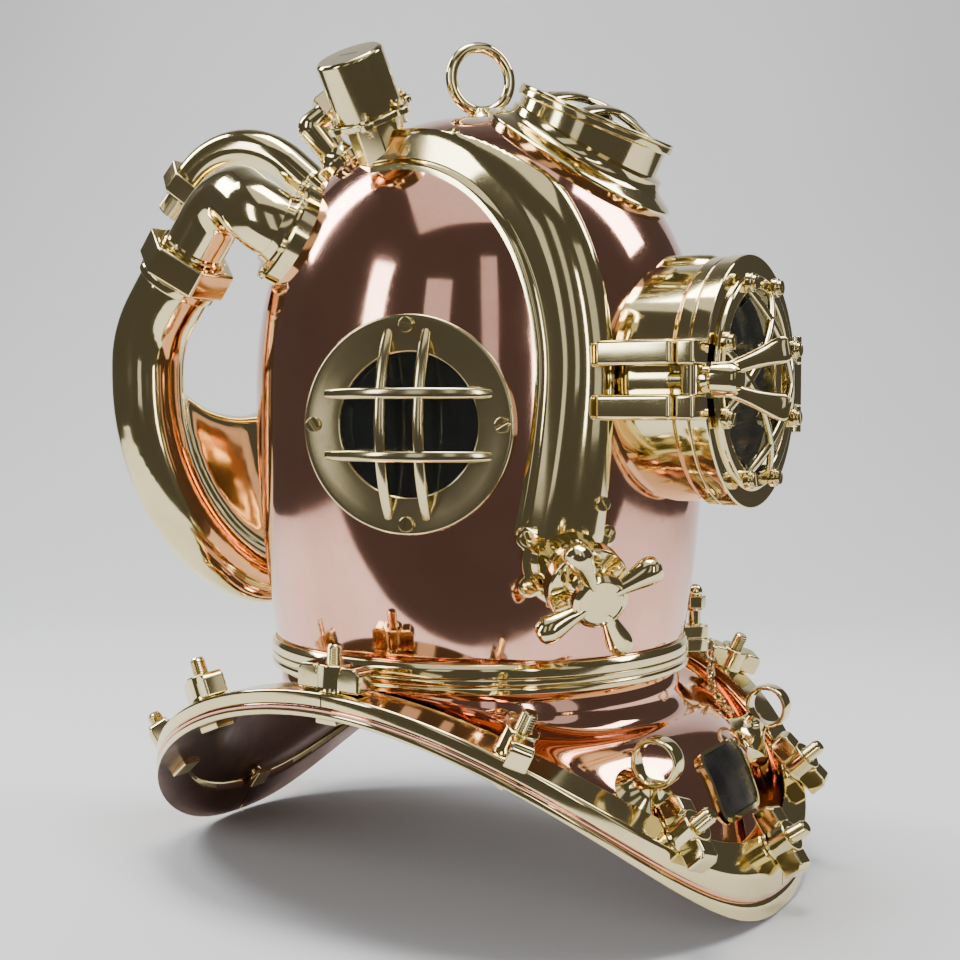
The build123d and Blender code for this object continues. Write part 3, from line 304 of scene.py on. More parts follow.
class Finishes:
    """Every material of the helmet, made once."""

    def __init__(self) -> None:
        """Builds the materials."""
        self.copper = Finish(Metal("rose_copper", (0.93, 0.50, 0.37), (0.56, 0.24, 0.15), 0.35, 0.06, 0.05,
                                   0.08).material(), Slot.COPPER)
        self.brass = Finish(Metal("pale_brass", (0.88, 0.75, 0.40), (0.50, 0.39, 0.14), 0.35, 0.07, 0.06,
                                  0.07).material(), Slot.BRASS)
        self.rolled = Finish(Metal("brushed_brass", (0.80, 0.68, 0.38), (0.42, 0.33, 0.15), 0.5, 0.13, 0.07, 0.05,
                                   0.006).material(), Slot.BRASS)
        # Dark copper for the inner side of the sheets and the rim's underside: painted shade where these face away
        # from the light.
        self.painted_shade = Metal("painted_shade_copper", (0.22, 0.115, 0.085), (0.10, 0.06, 0.05), 0.7, 0.3, 0.16, 0.05,
                            0.01).material()
        glass = Finish(Pane().material(), Slot.GLASS)
        enamel = Finish(Coated("plate_enamel", (0.012, 0.012, 0.012), (0.03, 0.027, 0.022), 0.22, 420.0,
                               0.01).material(), Slot.ENAMEL)
        leather = Finish(Coated("oiled_leather", (0.24, 0.12, 0.06), (0.12, 0.06, 0.03), 0.5, 900.0,
                                0.12).material(), Slot.LEATHER)
        self.rubber = Finish(Coated("black_rubber", (0.03, 0.03, 0.03), (0.05, 0.048, 0.045), 0.6, 1200.0,
                                    0.05).material(), Slot.RUBBER)
        self.by_slot = {finish.slot: finish.material
                        for finish in (self.copper, self.brass, glass, enamel, leather, self.rubber)}


# ---------------------------------------------------------------- shapes


def outward(azimuth: float, rise: float = 0.0) -> Vector:
    """Unit vector out of the helmet at an azimuth from the front, raised by an angle."""
    level = cos(radians(rise))
    return Vector((-sin(radians(azimuth)) * level, -cos(radians(azimuth)) * level, sin(radians(rise))))


def facing(origin: Vector, axis: Vector) -> Matrix:
    """Frame at a point whose Z runs along an axis and whose X is level."""
    up = Vector(axis).normalized()
    side = UP.cross(up)
    side = side.normalized() if side.length > 0.001 else Vector((1.0, 0.0, 0.0))
    return Matrix.Translation(origin) @ Matrix((side, up.cross(side), up)).transposed().to_4x4()


def shifted(x: float = 0.0, y: float = 0.0, z: float = 0.0) -> Matrix:
    """Move along the axes of a frame."""
    return Matrix.Translation((x, y, z))


def turned(angle: float, axis: str = "Z") -> Matrix:
    """Turn in degrees about an axis of a frame."""
    return Matrix.Rotation(radians(angle), 4, axis)


def around(frame: Matrix, count: int, radius: float, turn: float = 0.0) -> list[Matrix]:
    """Frames evenly round a frame's axis."""
    return [frame @ turned(turn + 360.0 * i / count) @ shifted(radius) for i in range(count)]


def polygon(sides: int, radius: float, turn: float = 0.0) -> Outline:
    """Corners of a regular polygon."""
    return [(radius * cos(radians(turn) + tau * i / sides), radius * sin(radians(turn) + tau * i / sides))
            for i in range(sides)]


def rectangle(width: float, height: float) -> Outline:
    """Corners of a rectangle about the middle."""
    x, y = width / 2, height / 2
    return [(-x, -y), (x, -y), (x, y), (-x, y)]


def soft_oval(width: float, height: float, squareness: float = 3.0, count: int = 20) -> Outline:
    """Outline between an oval and a rectangle."""
    points = []
    for i in range(count):
        x, y = cos(tau * i / count), sin(tau * i / count)
        points.append((width / 2 * abs(x) ** (2 / squareness) * (1 if x > 0 else -1),
                       height / 2 * abs(y) ** (2 / squareness) * (1 if y > 0 else -1)))
    return points


def tangent_arc(start: Vector, heading: Vector, end: Vector, steps: int) -> tuple[list[Vector], Vector]:
    """Points of an arc that leaves a point along a heading and ends at another point.

    Args:
        start: First point, not among the points handed back.
        heading: Unit direction at the start.
        end: Last point.
        steps: Number of points.

    Returns:
        The points and the heading at the end.
    """
    chord = end - start
    half = heading.angle_signed(chord)
    points = []
    for i in range(1, steps + 1):
        share = i / steps
        reach = chord.length * (sin(half * share) / sin(half) if abs(half) > 1e-6 else share)
        points.append(start + Matrix.Rotation(-half * share, 2) @ heading * reach)
    return points, Matrix.Rotation(-2 * half, 2) @ heading


def bent_path(corners: Sequence[Vector], bend: float, steps: int = 14) -> list[Vector]:
    """Straight runs between corners with a round bend at each inner corner."""
    points = [corners[0]]
    for before, corner, after in zip(corners, corners[1:], corners[2:]):
        back, ahead = (before - corner).normalized(), (after - corner).normalized()
        half = back.angle(ahead) / 2
        trim = bend / tan(half)
        centre = corner + (back + ahead).normalized() * bend / sin(half)
        first = corner + back * trim - centre
        axis = first.cross(corner + ahead * trim - centre).normalized()
        swing = pi - 2 * half
        points += [centre + Matrix.Rotation(swing * i / steps, 3, axis) @ first for i in range(steps + 1)]
    return points + [corners[-1]]


def path_frames(points: Sequence[Vector]) -> list[Matrix]:
    """Frames along a path that twist as little as they can."""
    heads = [(b - a).normalized() for a, b in zip(points, points[1:])]
    heads = [heads[0]] + [(a + b).normalized() for a, b in zip(heads, heads[1:])] + [heads[-1]]
    frame = facing(Vector(), heads[0]).to_3x3()
    frames = []
    for before, head, point in zip([heads[0]] + heads, heads, points):
        frame = before.rotation_difference(head).to_matrix() @ frame
        frames.append(Matrix.Translation(point) @ frame.to_4x4())
    return frames


class Shape:
    """Mesh in millimetres that bmesh operators build and finish."""

    def __init__(self) -> None:
        """Starts empty."""
        self.bm = bmesh.new()

    @classmethod
    def lathe(cls, profile: Pairs, steps: int = 96, closed: bool = True) -> "Shape":
        """Turns an outline about Z.

        Args:
            profile: Pairs of radius and height.
            steps: Steps of the full turn.
            closed: False where both ends lie on the axis, or the shape is an open skin.

        Returns:
            The turned shape.
        """
        shape = cls()
        verts = [shape.bm.verts.new((radius, 0.0, height)) for radius, height in profile]
        ends = verts[:1] if closed else []
        edges = [shape.bm.edges.new(pair) for pair in zip(verts, verts[1:] + ends)]
        bmesh.ops.spin(shape.bm, geom=verts + edges, cent=(0, 0, 0), axis=(0, 0, 1), angle=tau, steps=steps,
                       use_merge=True)
        bmesh.ops.remove_doubles(shape.bm, verts=shape.bm.verts, dist=1e-4)
        return shape.sound()

    @classmethod
    def slab(cls, outline: Pairs, low: float, high: float, hole: Pairs = ()) -> "Shape":
        """Raises a flat outline, with a hole where one is given, from one height to another."""
        shape = cls()
        edges = []
        for loop in (outline, hole):
            verts = [shape.bm.verts.new((x, y, low)) for x, y in loop]
            edges += [shape.bm.edges.new(pair) for pair in zip(verts, verts[1:] + verts[:1])]
        bmesh.ops.triangle_fill(shape.bm, use_beauty=True, use_dissolve=not hole, edges=edges)
        raised = bmesh.ops.extrude_face_region(shape.bm, geom=shape.bm.faces[:])["geom"]
        bmesh.ops.translate(shape.bm, vec=(0, 0, high - low),
                            verts=[item for item in raised if isinstance(item, bmesh.types.BMVert)])
        return shape.sound()

    @classmethod
    def loft(cls, loops: Sequence[Sequence[Vector]], closed: bool = False) -> "Shape":
        """Bridges loops of points one after another.

        Args:
            loops: Loops with the same number of points.
            closed: True where the last loop is bridged to the first.

        Returns:
            The bridged shape, with flat ends where it isn't closed.
        """
        shape = cls()
        rings = []
        for loop in loops:
            verts = [shape.bm.verts.new(point) for point in loop]
            rings.append((verts, [shape.bm.edges.new(pair) for pair in zip(verts, verts[1:] + verts[:1])]))
        for near, far in zip(rings, rings[1:] + (rings[:1] if closed else [])):
            bmesh.ops.bridge_loops(shape.bm, edges=near[1] + far[1])
        if not closed:
            for verts, _ in (rings[0], rings[-1]):
                shape.bm.faces.new(verts)
        return shape.sound()

    @classmethod
    def pipe(cls, path: Sequence[Vector], radius: float | Callable[[float], float], steps: int = 40) -> "Shape":
        """Round bar along a path.

        Args:
            path: Points of its middle line.
            radius: Radius, or its rule from 0 at the start to 1 at the end.
            steps: Sides of the bar.

        Returns:
            The bar.
        """
        ring = polygon(steps, 1.0)
        loops = []
        for i, frame in enumerate(path_frames(path)):
            wide = radius(i / (len(path) - 1)) if callable(radius) else radius
            loops.append([frame @ Vector((x * wide, y * wide, 0.0)) for x, y in ring])
        return cls.loft(loops)

    @classmethod
    def ring(cls, radius: float, wire: float, steps: int = 64, sides: int = 20) -> "Shape":
        """Round ring about Z."""
        return cls.lathe([(radius + x, y) for x, y in polygon(sides, wire)], steps)

    @classmethod
    def ball(cls, radius: float, steps: int = 40) -> "Shape":
        """Round ball turned from a half circle."""
        count = steps // 2
        half_circle = [(radius * sin(pi * i / count), -radius * cos(pi * i / count)) for i in range(count + 1)]
        return cls.lathe(half_circle, steps, closed=False)

    @classmethod
    def disc(cls, radius: float, low: float, high: float, edge: float = 0.5, steps: int = 72) -> "Shape":
        """Round bar or plate with softened edges."""
        profile = [(0.0, low), (radius, low), (radius, high), (0.0, high)]
        return cls.lathe(profile, steps, closed=False).rounded(edge)

    @classmethod
    def arched_bar(cls, half: float, rise: float, depth: float, width: float, steps: int = 36) -> "Shape":
        """Rounded bar along X that arches up from two feet and narrows at its ends."""
        radius = (half * half + rise * rise) / (2 * rise)
        limit = asin(half / radius) * 1.03
        section = soft_oval(width, depth, 2.6)
        loops = []
        for i in range(steps + 1):
            share = 2 * i / steps - 1
            angle = limit * share
            middle = Vector((radius * sin(angle), 0.0, rise - radius + radius * cos(angle)))
            out = Vector((sin(angle), 0.0, cos(angle)))
            narrow = 1 - 0.3 * share ** 8
            loops.append([middle + out * (y - depth / 2) + Vector((0.0, x * narrow, 0.0)) for x, y in section])
        return cls.loft(loops)

    @classmethod
    def screw(cls, radius: float = 4.2, height: float = 2.2, slot: float = 1.2) -> "Shape":
        """Slotted round head that stands on a frame's origin."""
        base = cls.disc(radius, -0.6, height * 0.45, 0.15, 32)
        half = asin(slot / 2 / radius)
        turns = [half + (pi - 2 * half) * i / 16 for i in range(17)]
        arc = [(radius * cos(turn), radius * sin(turn)) for turn in turns]
        for turn in (0, 180):
            base.plus(cls.slab(arc, height * 0.4, height).rounded(0.45, 2, 50).at(turned(turn)))
        return base

    @classmethod
    def thread(cls, radius: float, low: float, high: float, pitch: float = 1.5, depth: float = 0.65) -> "Shape":
        """Threaded bar with a chamfered end."""
        profile = [(0.0, low), (radius - depth, low)]
        height = low
        while height + pitch < high - depth:
            profile += [(radius - depth, height + pitch * 0.15), (radius, height + pitch * 0.5),
                        (radius, height + pitch * 0.6)]
            height += pitch
        profile += [(radius - depth, height + pitch * 0.15), (radius - depth, high - depth),
                    (radius - 2 * depth, high), (0.0, high)]
        return cls.lathe(profile, 36, closed=False)

    def sound(self) -> "Shape":
        """Turns every face outward."""
        bmesh.ops.recalc_face_normals(self.bm, faces=self.bm.faces)
        return self

    def rounded(self, width: float, segments: int = 3, limit: float = 35.0) -> "Shape":
        """Bevels every edge that turns by more than a limit."""
        edges = [edge for edge in self.bm.edges
                 if len(edge.link_faces) == 2 and edge.calc_face_angle(0.0) > radians(limit)]
        bmesh.ops.bevel(self.bm, geom=edges, offset=width, offset_type="OFFSET", segments=segments, profile=0.5,
                        affect="EDGES", clamp_overlap=True, material=-1)
        return self

    def at(self, frame: Matrix) -> "Shape":
        """Moves the shape into a frame."""
        bmesh.ops.transform(self.bm, matrix=frame, verts=self.bm.verts)
        return self

    def mapped(self, place: Callable[[Vector], Vector]) -> "Shape":
        """Moves each vertex by a rule."""
        for vert in self.bm.verts:
            vert.co = place(vert.co)
        return self.sound()

    def across(self) -> "Shape":
        """The same shape on the diver's other side."""
        other = Shape()
        other.bm = self.bm.copy()
        bmesh.ops.transform(other.bm, matrix=MIRROR, verts=other.bm.verts)
        bmesh.ops.reverse_faces(other.bm, faces=other.bm.faces)
        return other

    def plus(self, *others: "Shape") -> "Shape":
        """Takes in other shapes."""
        for other in others:
            data = bpy.data.meshes.new("taken")
            other.bm.to_mesh(data)
            other.bm.free()
            self.bm.from_mesh(data)
            bpy.data.meshes.remove(data)
        return self

    def without(self, gone: Callable[[Vector], bool]) -> "Shape":
        """Drops the faces whose middle meets a test."""
        faces = [face for face in self.bm.faces if gone(face.calc_center_median())]
        bmesh.ops.delete(self.bm, geom=faces, context="FACES")
        return self

    def piece(self, name: str, body: Body, finish: Finish, *nodes: str, flow: float = 32.0) -> bpy.types.Object:
        """Makes the finished object.

        Args:
            name: Object name.
            body: Body that it rides on.
            finish: Its material.
            nodes: CAD nodes that it stands for.
            flow: Edges that turn by less are shaded smooth.

        Returns:
            The object.
        """
        bmesh.ops.scale(self.bm, vec=(MM, MM, MM), verts=self.bm.verts)
        data = bpy.data.meshes.new(name)
        self.bm.to_mesh(data)
        self.bm.free()
        data.shade_smooth()
        data.set_sharp_from_angle(angle=radians(flow))
        data.materials.append(finish.material)
        item = bpy.data.objects.new(name, data)
        bpy.context.collection.objects.link(item)
        item.modifiers.new("even_normals", "WEIGHTED_NORMAL").keep_sharp = True
        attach(item, body.value)
        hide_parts(*nodes)
        log.info("%s: %d faces on %s", name, len(data.polygons), body.value)
        return item

    def both_sides(self, name: str, right: Body, left: Body, finish: Finish, node: str) -> None:
        """Makes the piece on the diver's right and its mirror image on the left."""
        other = self.across()
        self.piece(name + "_right", right, finish, node + "_right")
        other.piece(name + "_left", left, finish, node + "_left")


def thicken(item: bpy.types.Object, sheet: float, painted_shade: bpy.types.Material) -> None:
    """Gives an open skin the thickness of its sheet, with dark copper on its inner side: painted shade inside the
    shell.
    """
    item.data.materials.append(painted_shade)
    wall = item.modifiers.new("wall", "SOLIDIFY")
    wall.thickness, wall.offset, wall.material_offset = sheet * MM, -1.0, 1


def screws(places: Sequence[Matrix], turn: float = 30.0) -> Shape:
    """Slotted screws on frames, each turned a little further than the last."""
    shape = Shape()
    for i, place in enumerate(places):
        shape.plus(Shape.screw().at(place @ turned(turn + 47.0 * i)))
    return shape


# ---------------------------------------------------------------- the bonnet's skin


@dataclass(frozen=True)
class Skin:
    """Outer skin of the bonnet, a curve of revolution."""

    neck_radius: float = 129.0
    foot_z: float = 142.0
    belly_radius: float = 142.0
    belly_z: float = 300.0
    top_z: float = 471.0
    fullness: float = 0.62
    middle_z: float = 334.0

    def outline(self, wall_steps: int = 18, crown_steps: int = 46) -> Outline:
        """Pairs of radius and height from the foot to the top."""
        drop, inset = self.belly_z - self.foot_z, self.belly_radius - self.neck_radius
        radius = (drop * drop + inset * inset) / (2 * inset)
        points = []
        for i in range(wall_steps):
            z = self.foot_z + drop * i / wall_steps
            points.append((self.belly_radius - radius + sqrt(radius ** 2 - (self.belly_z - z) ** 2), z))
        rise = (self.top_z - self.belly_z) * self.fullness
        for i in range(crown_steps + 1):
            t = i / crown_steps
            s = 1 - t
            points.append((self.belly_radius * (s ** 3 + 3 * s * s * t + 3 * s * t * t * self.fullness),
                           s ** 3 * self.belly_z + 3 * s * s * t * (self.belly_z + rise)
                           + (3 * s * t * t + t ** 3) * self.top_z))
        return points

    @cached_property
    def table(self) -> tuple[list[float], list[float]]:
        """Angles from the middle and the distances of the skin there."""
        points = [(radius, z - self.middle_z) for radius, z in self.outline(60, 160)]
        return [atan2(rise, radius) for radius, rise in points], [hypot(radius, rise) for radius, rise in points]

    def gap(self, point: Vector) -> float:
        """Distance of a point from the skin along the ray from the middle."""
        radius, rise = hypot(point.x, point.y), point.z - self.middle_z
        angles, reaches = self.table
        angle = min(max(atan2(rise, radius), angles[0]), angles[-1])
        i = min(max(bisect_left(angles, angle), 1), len(angles) - 1)
        share = (angle - angles[i - 1]) / (angles[i] - angles[i - 1])
        return hypot(radius, rise) - reaches[i - 1] - share * (reaches[i] - reaches[i - 1])

    def normal(self, point: Vector) -> Vector:
        """Direction out of the skin at a point."""
        step = 2.0
        slopes = [self.gap(point + axis * step) - self.gap(point - axis * step)
                  for axis in (Vector((1, 0, 0)), Vector((0, 1, 0)), UP)]
        return Vector(slopes).normalized()

    def beneath(self, point: Vector, axis: Vector, lift: float = 0.0) -> Vector:
        """Where a line through a point along an axis comes within a lift of the skin, from outside."""
        high = 70.0
        while self.gap(point + axis * (high - 5.0)) > lift and high > -150.0:
            high -= 5.0
        low = high - 5.0
        for _ in range(16):
            middle = (low + high) / 2
            low, high = (middle, high) if self.gap(point + axis * middle) < lift else (low, middle)
        return point + axis * high

    def pad(self, frame: Matrix, outline: Callable[[float], float], profile: Pairs, steps: int = 96) -> Shape:
        """Flange that lies on the skin.

        Args:
            frame: Frame whose axis the flange is square to.
            outline: Radius of its edge at an angle.
            profile: Pairs of inset from the edge and lift over the skin.
            steps: Steps round the axis.

        Returns:
            The flange.
        """
        far = 300.0
        axis = frame.to_3x3() @ UP

        def place(point: Vector) -> Vector:
            """Lays one vertex of the turned profile on the skin."""
            turn, inset = atan2(point.y, point.x), far - hypot(point.x, point.y)
            radius = outline(turn) - inset
            spot = self.beneath(frame @ Vector((radius * cos(turn), radius * sin(turn), 0.0)), axis)
            return spot + self.normal(spot) * point.z

        return Shape.lathe([(far - inset, lift) for inset, lift in profile], steps).mapped(place)

    def on(self, frame: Matrix, x: float, y: float, lift: float) -> Matrix:
        """Frame on the skin, over a point of another frame's plane."""
        spot = self.beneath(frame @ Vector((x, y, 0.0)), frame.to_3x3() @ UP)
        out = self.normal(spot)
        return facing(spot + out * lift, out)

    def crown_place(self, azimuth: float, polar: float, radius: float = 137.0) -> Matrix:
        """Frame of a fitting on the crown."""
        axis = outward(azimuth, 90.0 - polar)
        return facing(Vector((0.0, 0.0, self.middle_z)) + axis * radius, axis)


SKIN = Skin()


# ---------------------------------------------------------------- breastplate


@dataclass(frozen=True)
class Breastplate:
    """Bowl, arched brim, rim and brails of the breastplate."""

    half_width: float = 182.0
    half_depth: float = 203.0
    squareness: float = 2.4
    arch_radius: float = 229.0
    rim: float = 4.0
    sheet: float = 2.0
    brail: float = 8.0
    brail_width: float = 26.0
    brail_joint: float = 0.13
    shoulder: float = 87.0
    collar_radius: float = 127.0
    seat_z: float = 130.0
    bowl: tuple = ((127.0, 117.0), (136.66, 104.0), (172.54, 70.85), (196.0, 0.0))
    blend: float = 9.0
    steps: int = 240
    rows: int = 56

    @cached_property
    def arch_z(self) -> float:
        """Height of the arch's axis."""
        return -sqrt(self.arch_radius ** 2 - self.half_depth ** 2)

    @cached_property
    def slope(self) -> float:
        """Share of the brails' width that the plan shows at the front."""
        return -self.arch_z / self.arch_radius

    @cached_property
    def bowl_line(self) -> list[Vector]:
        """Points of radius and height down the bowl."""
        points = [Vector(self.bowl[0])]
        heading = Vector((0.0, -1.0))
        for end in self.bowl[1:]:
            arc, heading = tangent_arc(points[-1], heading, Vector(end), 16)
            points += arc
        return points

    def bowl_height(self, radius: float) -> float:
        """Height of the bowl's skin at a radius."""
        line = self.bowl_line
        for inner, outer in zip(line, line[1:]):
            if radius <= outer.x:
                share = max(radius - inner.x, 0.0) / max(outer.x - inner.x, 1e-6)
                return inner.y + (outer.y - inner.y) * share
        return line[-1].y - 3.0 * (radius - line[-1].x)

    def plan(self, azimuth: float, share: float) -> Vector:
        """Plan point of the rim band, from its inner edge at 0 to its outer edge at 1."""
        width = self.half_width - self.brail_width * (1 - share)
        depth = self.half_depth - self.brail_width * self.slope * (1 - share)
        side, front = abs(sin(radians(azimuth))) / width, abs(cos(radians(azimuth))) / depth
        return outward(azimuth) * (side ** self.squareness + front ** self.squareness) ** (-1 / self.squareness)

    def on_arch(self, plan: Vector, radius: float) -> Vector:
        """Point over a plan point on the arch of a radius."""
        return Vector((plan.x, plan.y, self.arch_z + sqrt(radius ** 2 - plan.y ** 2)))

    def band(self, inner: float, outer: float, start: float, end: float, edge: float) -> Shape:
        """Rounded band along the rim between two arch radii and two azimuths."""
        middle, span = (inner + outer) / 2, (outer - inner)
        width = self.brail_width
        corners = [(0.0, inner), (width, inner), (width, outer), (0.0, outer)]
        section = []
        for x, radius in corners:
            sx, sy = (1 if x else -1), (1 if radius > middle else -1)
            turn = atan2(sy, sx)
            for k in (-1, -0.33, 0.33, 1):
                angle = turn + k * pi / 4
                section.append(((x - sx * edge + edge * cos(angle)) / width,
                                radius - sy * min(edge, span / 2) + min(edge, span / 2) * sin(angle)))
        count = max(2, int(abs(end - start) / 2.5))
        loops = []
        for i in range(count + 1):
            azimuth = start + (end - start) * i / count
            loops.append([self.on_arch(self.plan(azimuth, share), radius) for share, radius in section])
        return Shape.loft(loops)

    def stud_frame(self, azimuth: float) -> Matrix:
        """Frame on top of the brails at a stud."""
        place = self.plan(azimuth, 0.5)
        top = self.arch_radius + self.rim + self.sheet + self.brail
        lean = Vector((0.0, place.y, sqrt(top ** 2 - place.y ** 2))).normalized()
        side = Vector((1.0, 0.0, 0.0))
        turn = Matrix((side, lean.cross(side), lean)).transposed().to_4x4()
        return Matrix.Translation(Vector((place.x, 0.0, self.arch_z)) + lean * top) @ turn

    def skin_point(self, azimuth: float, share: float) -> Vector:
        """Point of the upper skin, from the collar at 0 to the rim at 1."""
        edge = self.plan(azimuth, 1.0)
        radius = self.collar_radius + (edge.length - self.collar_radius) * share
        plan = edge.normalized() * radius
        arch = self.on_arch(plan, self.arch_radius + self.rim + self.sheet).z
        bowl = self.bowl_height(radius)
        soft = max(self.blend - abs(arch - bowl), 0.0) / self.blend
        return Vector((plan.x, plan.y, max(arch, bowl) + soft * soft * self.blend / 4))

    def shell(self, finishes: Finishes) -> None:
        """Copper sheet: collar, bowl and brim, thickened downwards."""
        shape = Shape()
        rings = []
        for j in range(self.rows + 2):
            share = (max(j - 1, 0) / self.rows) ** 1.25
            verts = []
            for i in range(self.steps):
                point = self.skin_point(360.0 * i / self.steps, share)
                verts.append(shape.bm.verts.new((point.x, point.y, self.seat_z if j == 0 else point.z)))
            rings.append([shape.bm.edges.new(pair) for pair in zip(verts, verts[1:] + verts[:1])])
        for near, far in zip(rings, rings[1:]):
            bmesh.ops.bridge_loops(shape.bm, edges=near + far)
        shape.sound()
        if sum(face.normal.z for face in shape.bm.faces) < 0:
            bmesh.ops.reverse_faces(shape.bm, faces=shape.bm.faces)
        item = shape.piece("breastplate_sheet", Body.BREASTPLATE, finishes.copper, "breastplate_shell",
                           flow=60.0)
        # The inner side gets dark copper: painted shade under the breastplate.
        thicken(item, self.sheet, finishes.painted_shade)

    def edges(self, finishes: Finishes) -> None:
        """Rim under the brim, and the four brails over it."""
        low, mid = self.arch_radius, self.arch_radius + self.rim
        rim = self.band(low, mid, 0.0, 179.9, 1.2).plus(self.band(low, mid, 180.1, 360.0, 1.2))
        item = rim.piece("rim_plate", Body.BREASTPLATE, finishes.brass, "breastplate_rim")
        # Faces of the rim that look downwards get the dark copper: painted shade under the rim.
        item.data.materials.append(finishes.painted_shade)
        for face in item.data.polygons:
            above = Vector((0.0, face.center.y, face.center.z - self.arch_z * MM)).normalized()
            face.material_index = int(face.normal.dot(above) < -0.8)
        base, top = mid + self.sheet, mid + self.sheet + self.brail
        gap = self.brail_joint
        for name, start, end in (("brail_front_right", gap, self.shoulder - gap),
                                 ("brail_rear_right", self.shoulder + gap, 180 - gap),
                                 ("brail_rear_left", 180 + gap, 360 - self.shoulder - gap),
                                 ("brail_front_left", 360 - self.shoulder + gap, 360 - gap)):
            strip = self.band(base, top, start, end, 1.8)
            strip.piece(name + "_strip", Body.BREASTPLATE, finishes.brass, name)


PLATE = Breastplate()


@dataclass(frozen=True)
class RimFastenings:
    """Threaded studs with wing nuts all round the rim."""

    stud_radius: float = 4.6
    reach: float = 11.0
    nut_height: float = 14.0
    boss_radius: float = 9.5
    span: float = 41.0
    ear_width: float = 13.0
    ear_drop: float = 3.0
    head_side: float = 14.0
    head_height: float = 4.2
    turns: tuple = ((0, 80), (27, 65), (54, 35), (87, 90), (120, 60), (146, 40), (180, 75),
                    (-27, 100), (-54, 140), (-87, 90), (-120, 120), (-146, 150))

    def nut(self) -> Shape:
        """One wing nut: a boss and two block ears."""
        half, height, drop = self.span / 2, self.nut_height, self.ear_drop
        boss = Shape.lathe([(self.stud_radius, 0), (self.boss_radius + 1, 0), (self.boss_radius, 2.5),
                            (self.boss_radius, height + 0.6), (self.stud_radius, height + 0.6)], 48).rounded(0.9)
        side = [(-half, 0), (half, 0), (half, height - drop), (half - drop, height),
                (8.5, height), (7.5, height - 3), (-7.5, height - 3), (-8.5, height), (drop - half, height),
                (-half, height - drop)]
        ears = Shape.slab(side, -self.ear_width / 2, self.ear_width / 2).rounded(1.5, 3)
        return boss.plus(ears.at(turned(90, "X")))

    def build(self, finishes: Finishes) -> None:
        """All the studs and nuts."""
        studs, nuts = Shape(), Shape()
        under = PLATE.rim + PLATE.sheet + PLATE.brail
        for azimuth, turn in self.turns:
            frame = PLATE.stud_frame(azimuth)
            studs.plus(Shape.thread(self.stud_radius, -under, self.nut_height + self.reach).at(frame))
            head = Shape.slab(rectangle(self.head_side, self.head_side), -under - self.head_height, -under)
            studs.plus(head.rounded(0.8, 2).at(frame))
            nuts.plus(self.nut().at(frame @ turned(turn)))
        studs.piece("rim_stud_set", Body.BREASTPLATE, finishes.brass, "rim_studs")
        nuts.piece("wing_nut_set", Body.BREASTPLATE, finishes.brass, "wing_nuts")


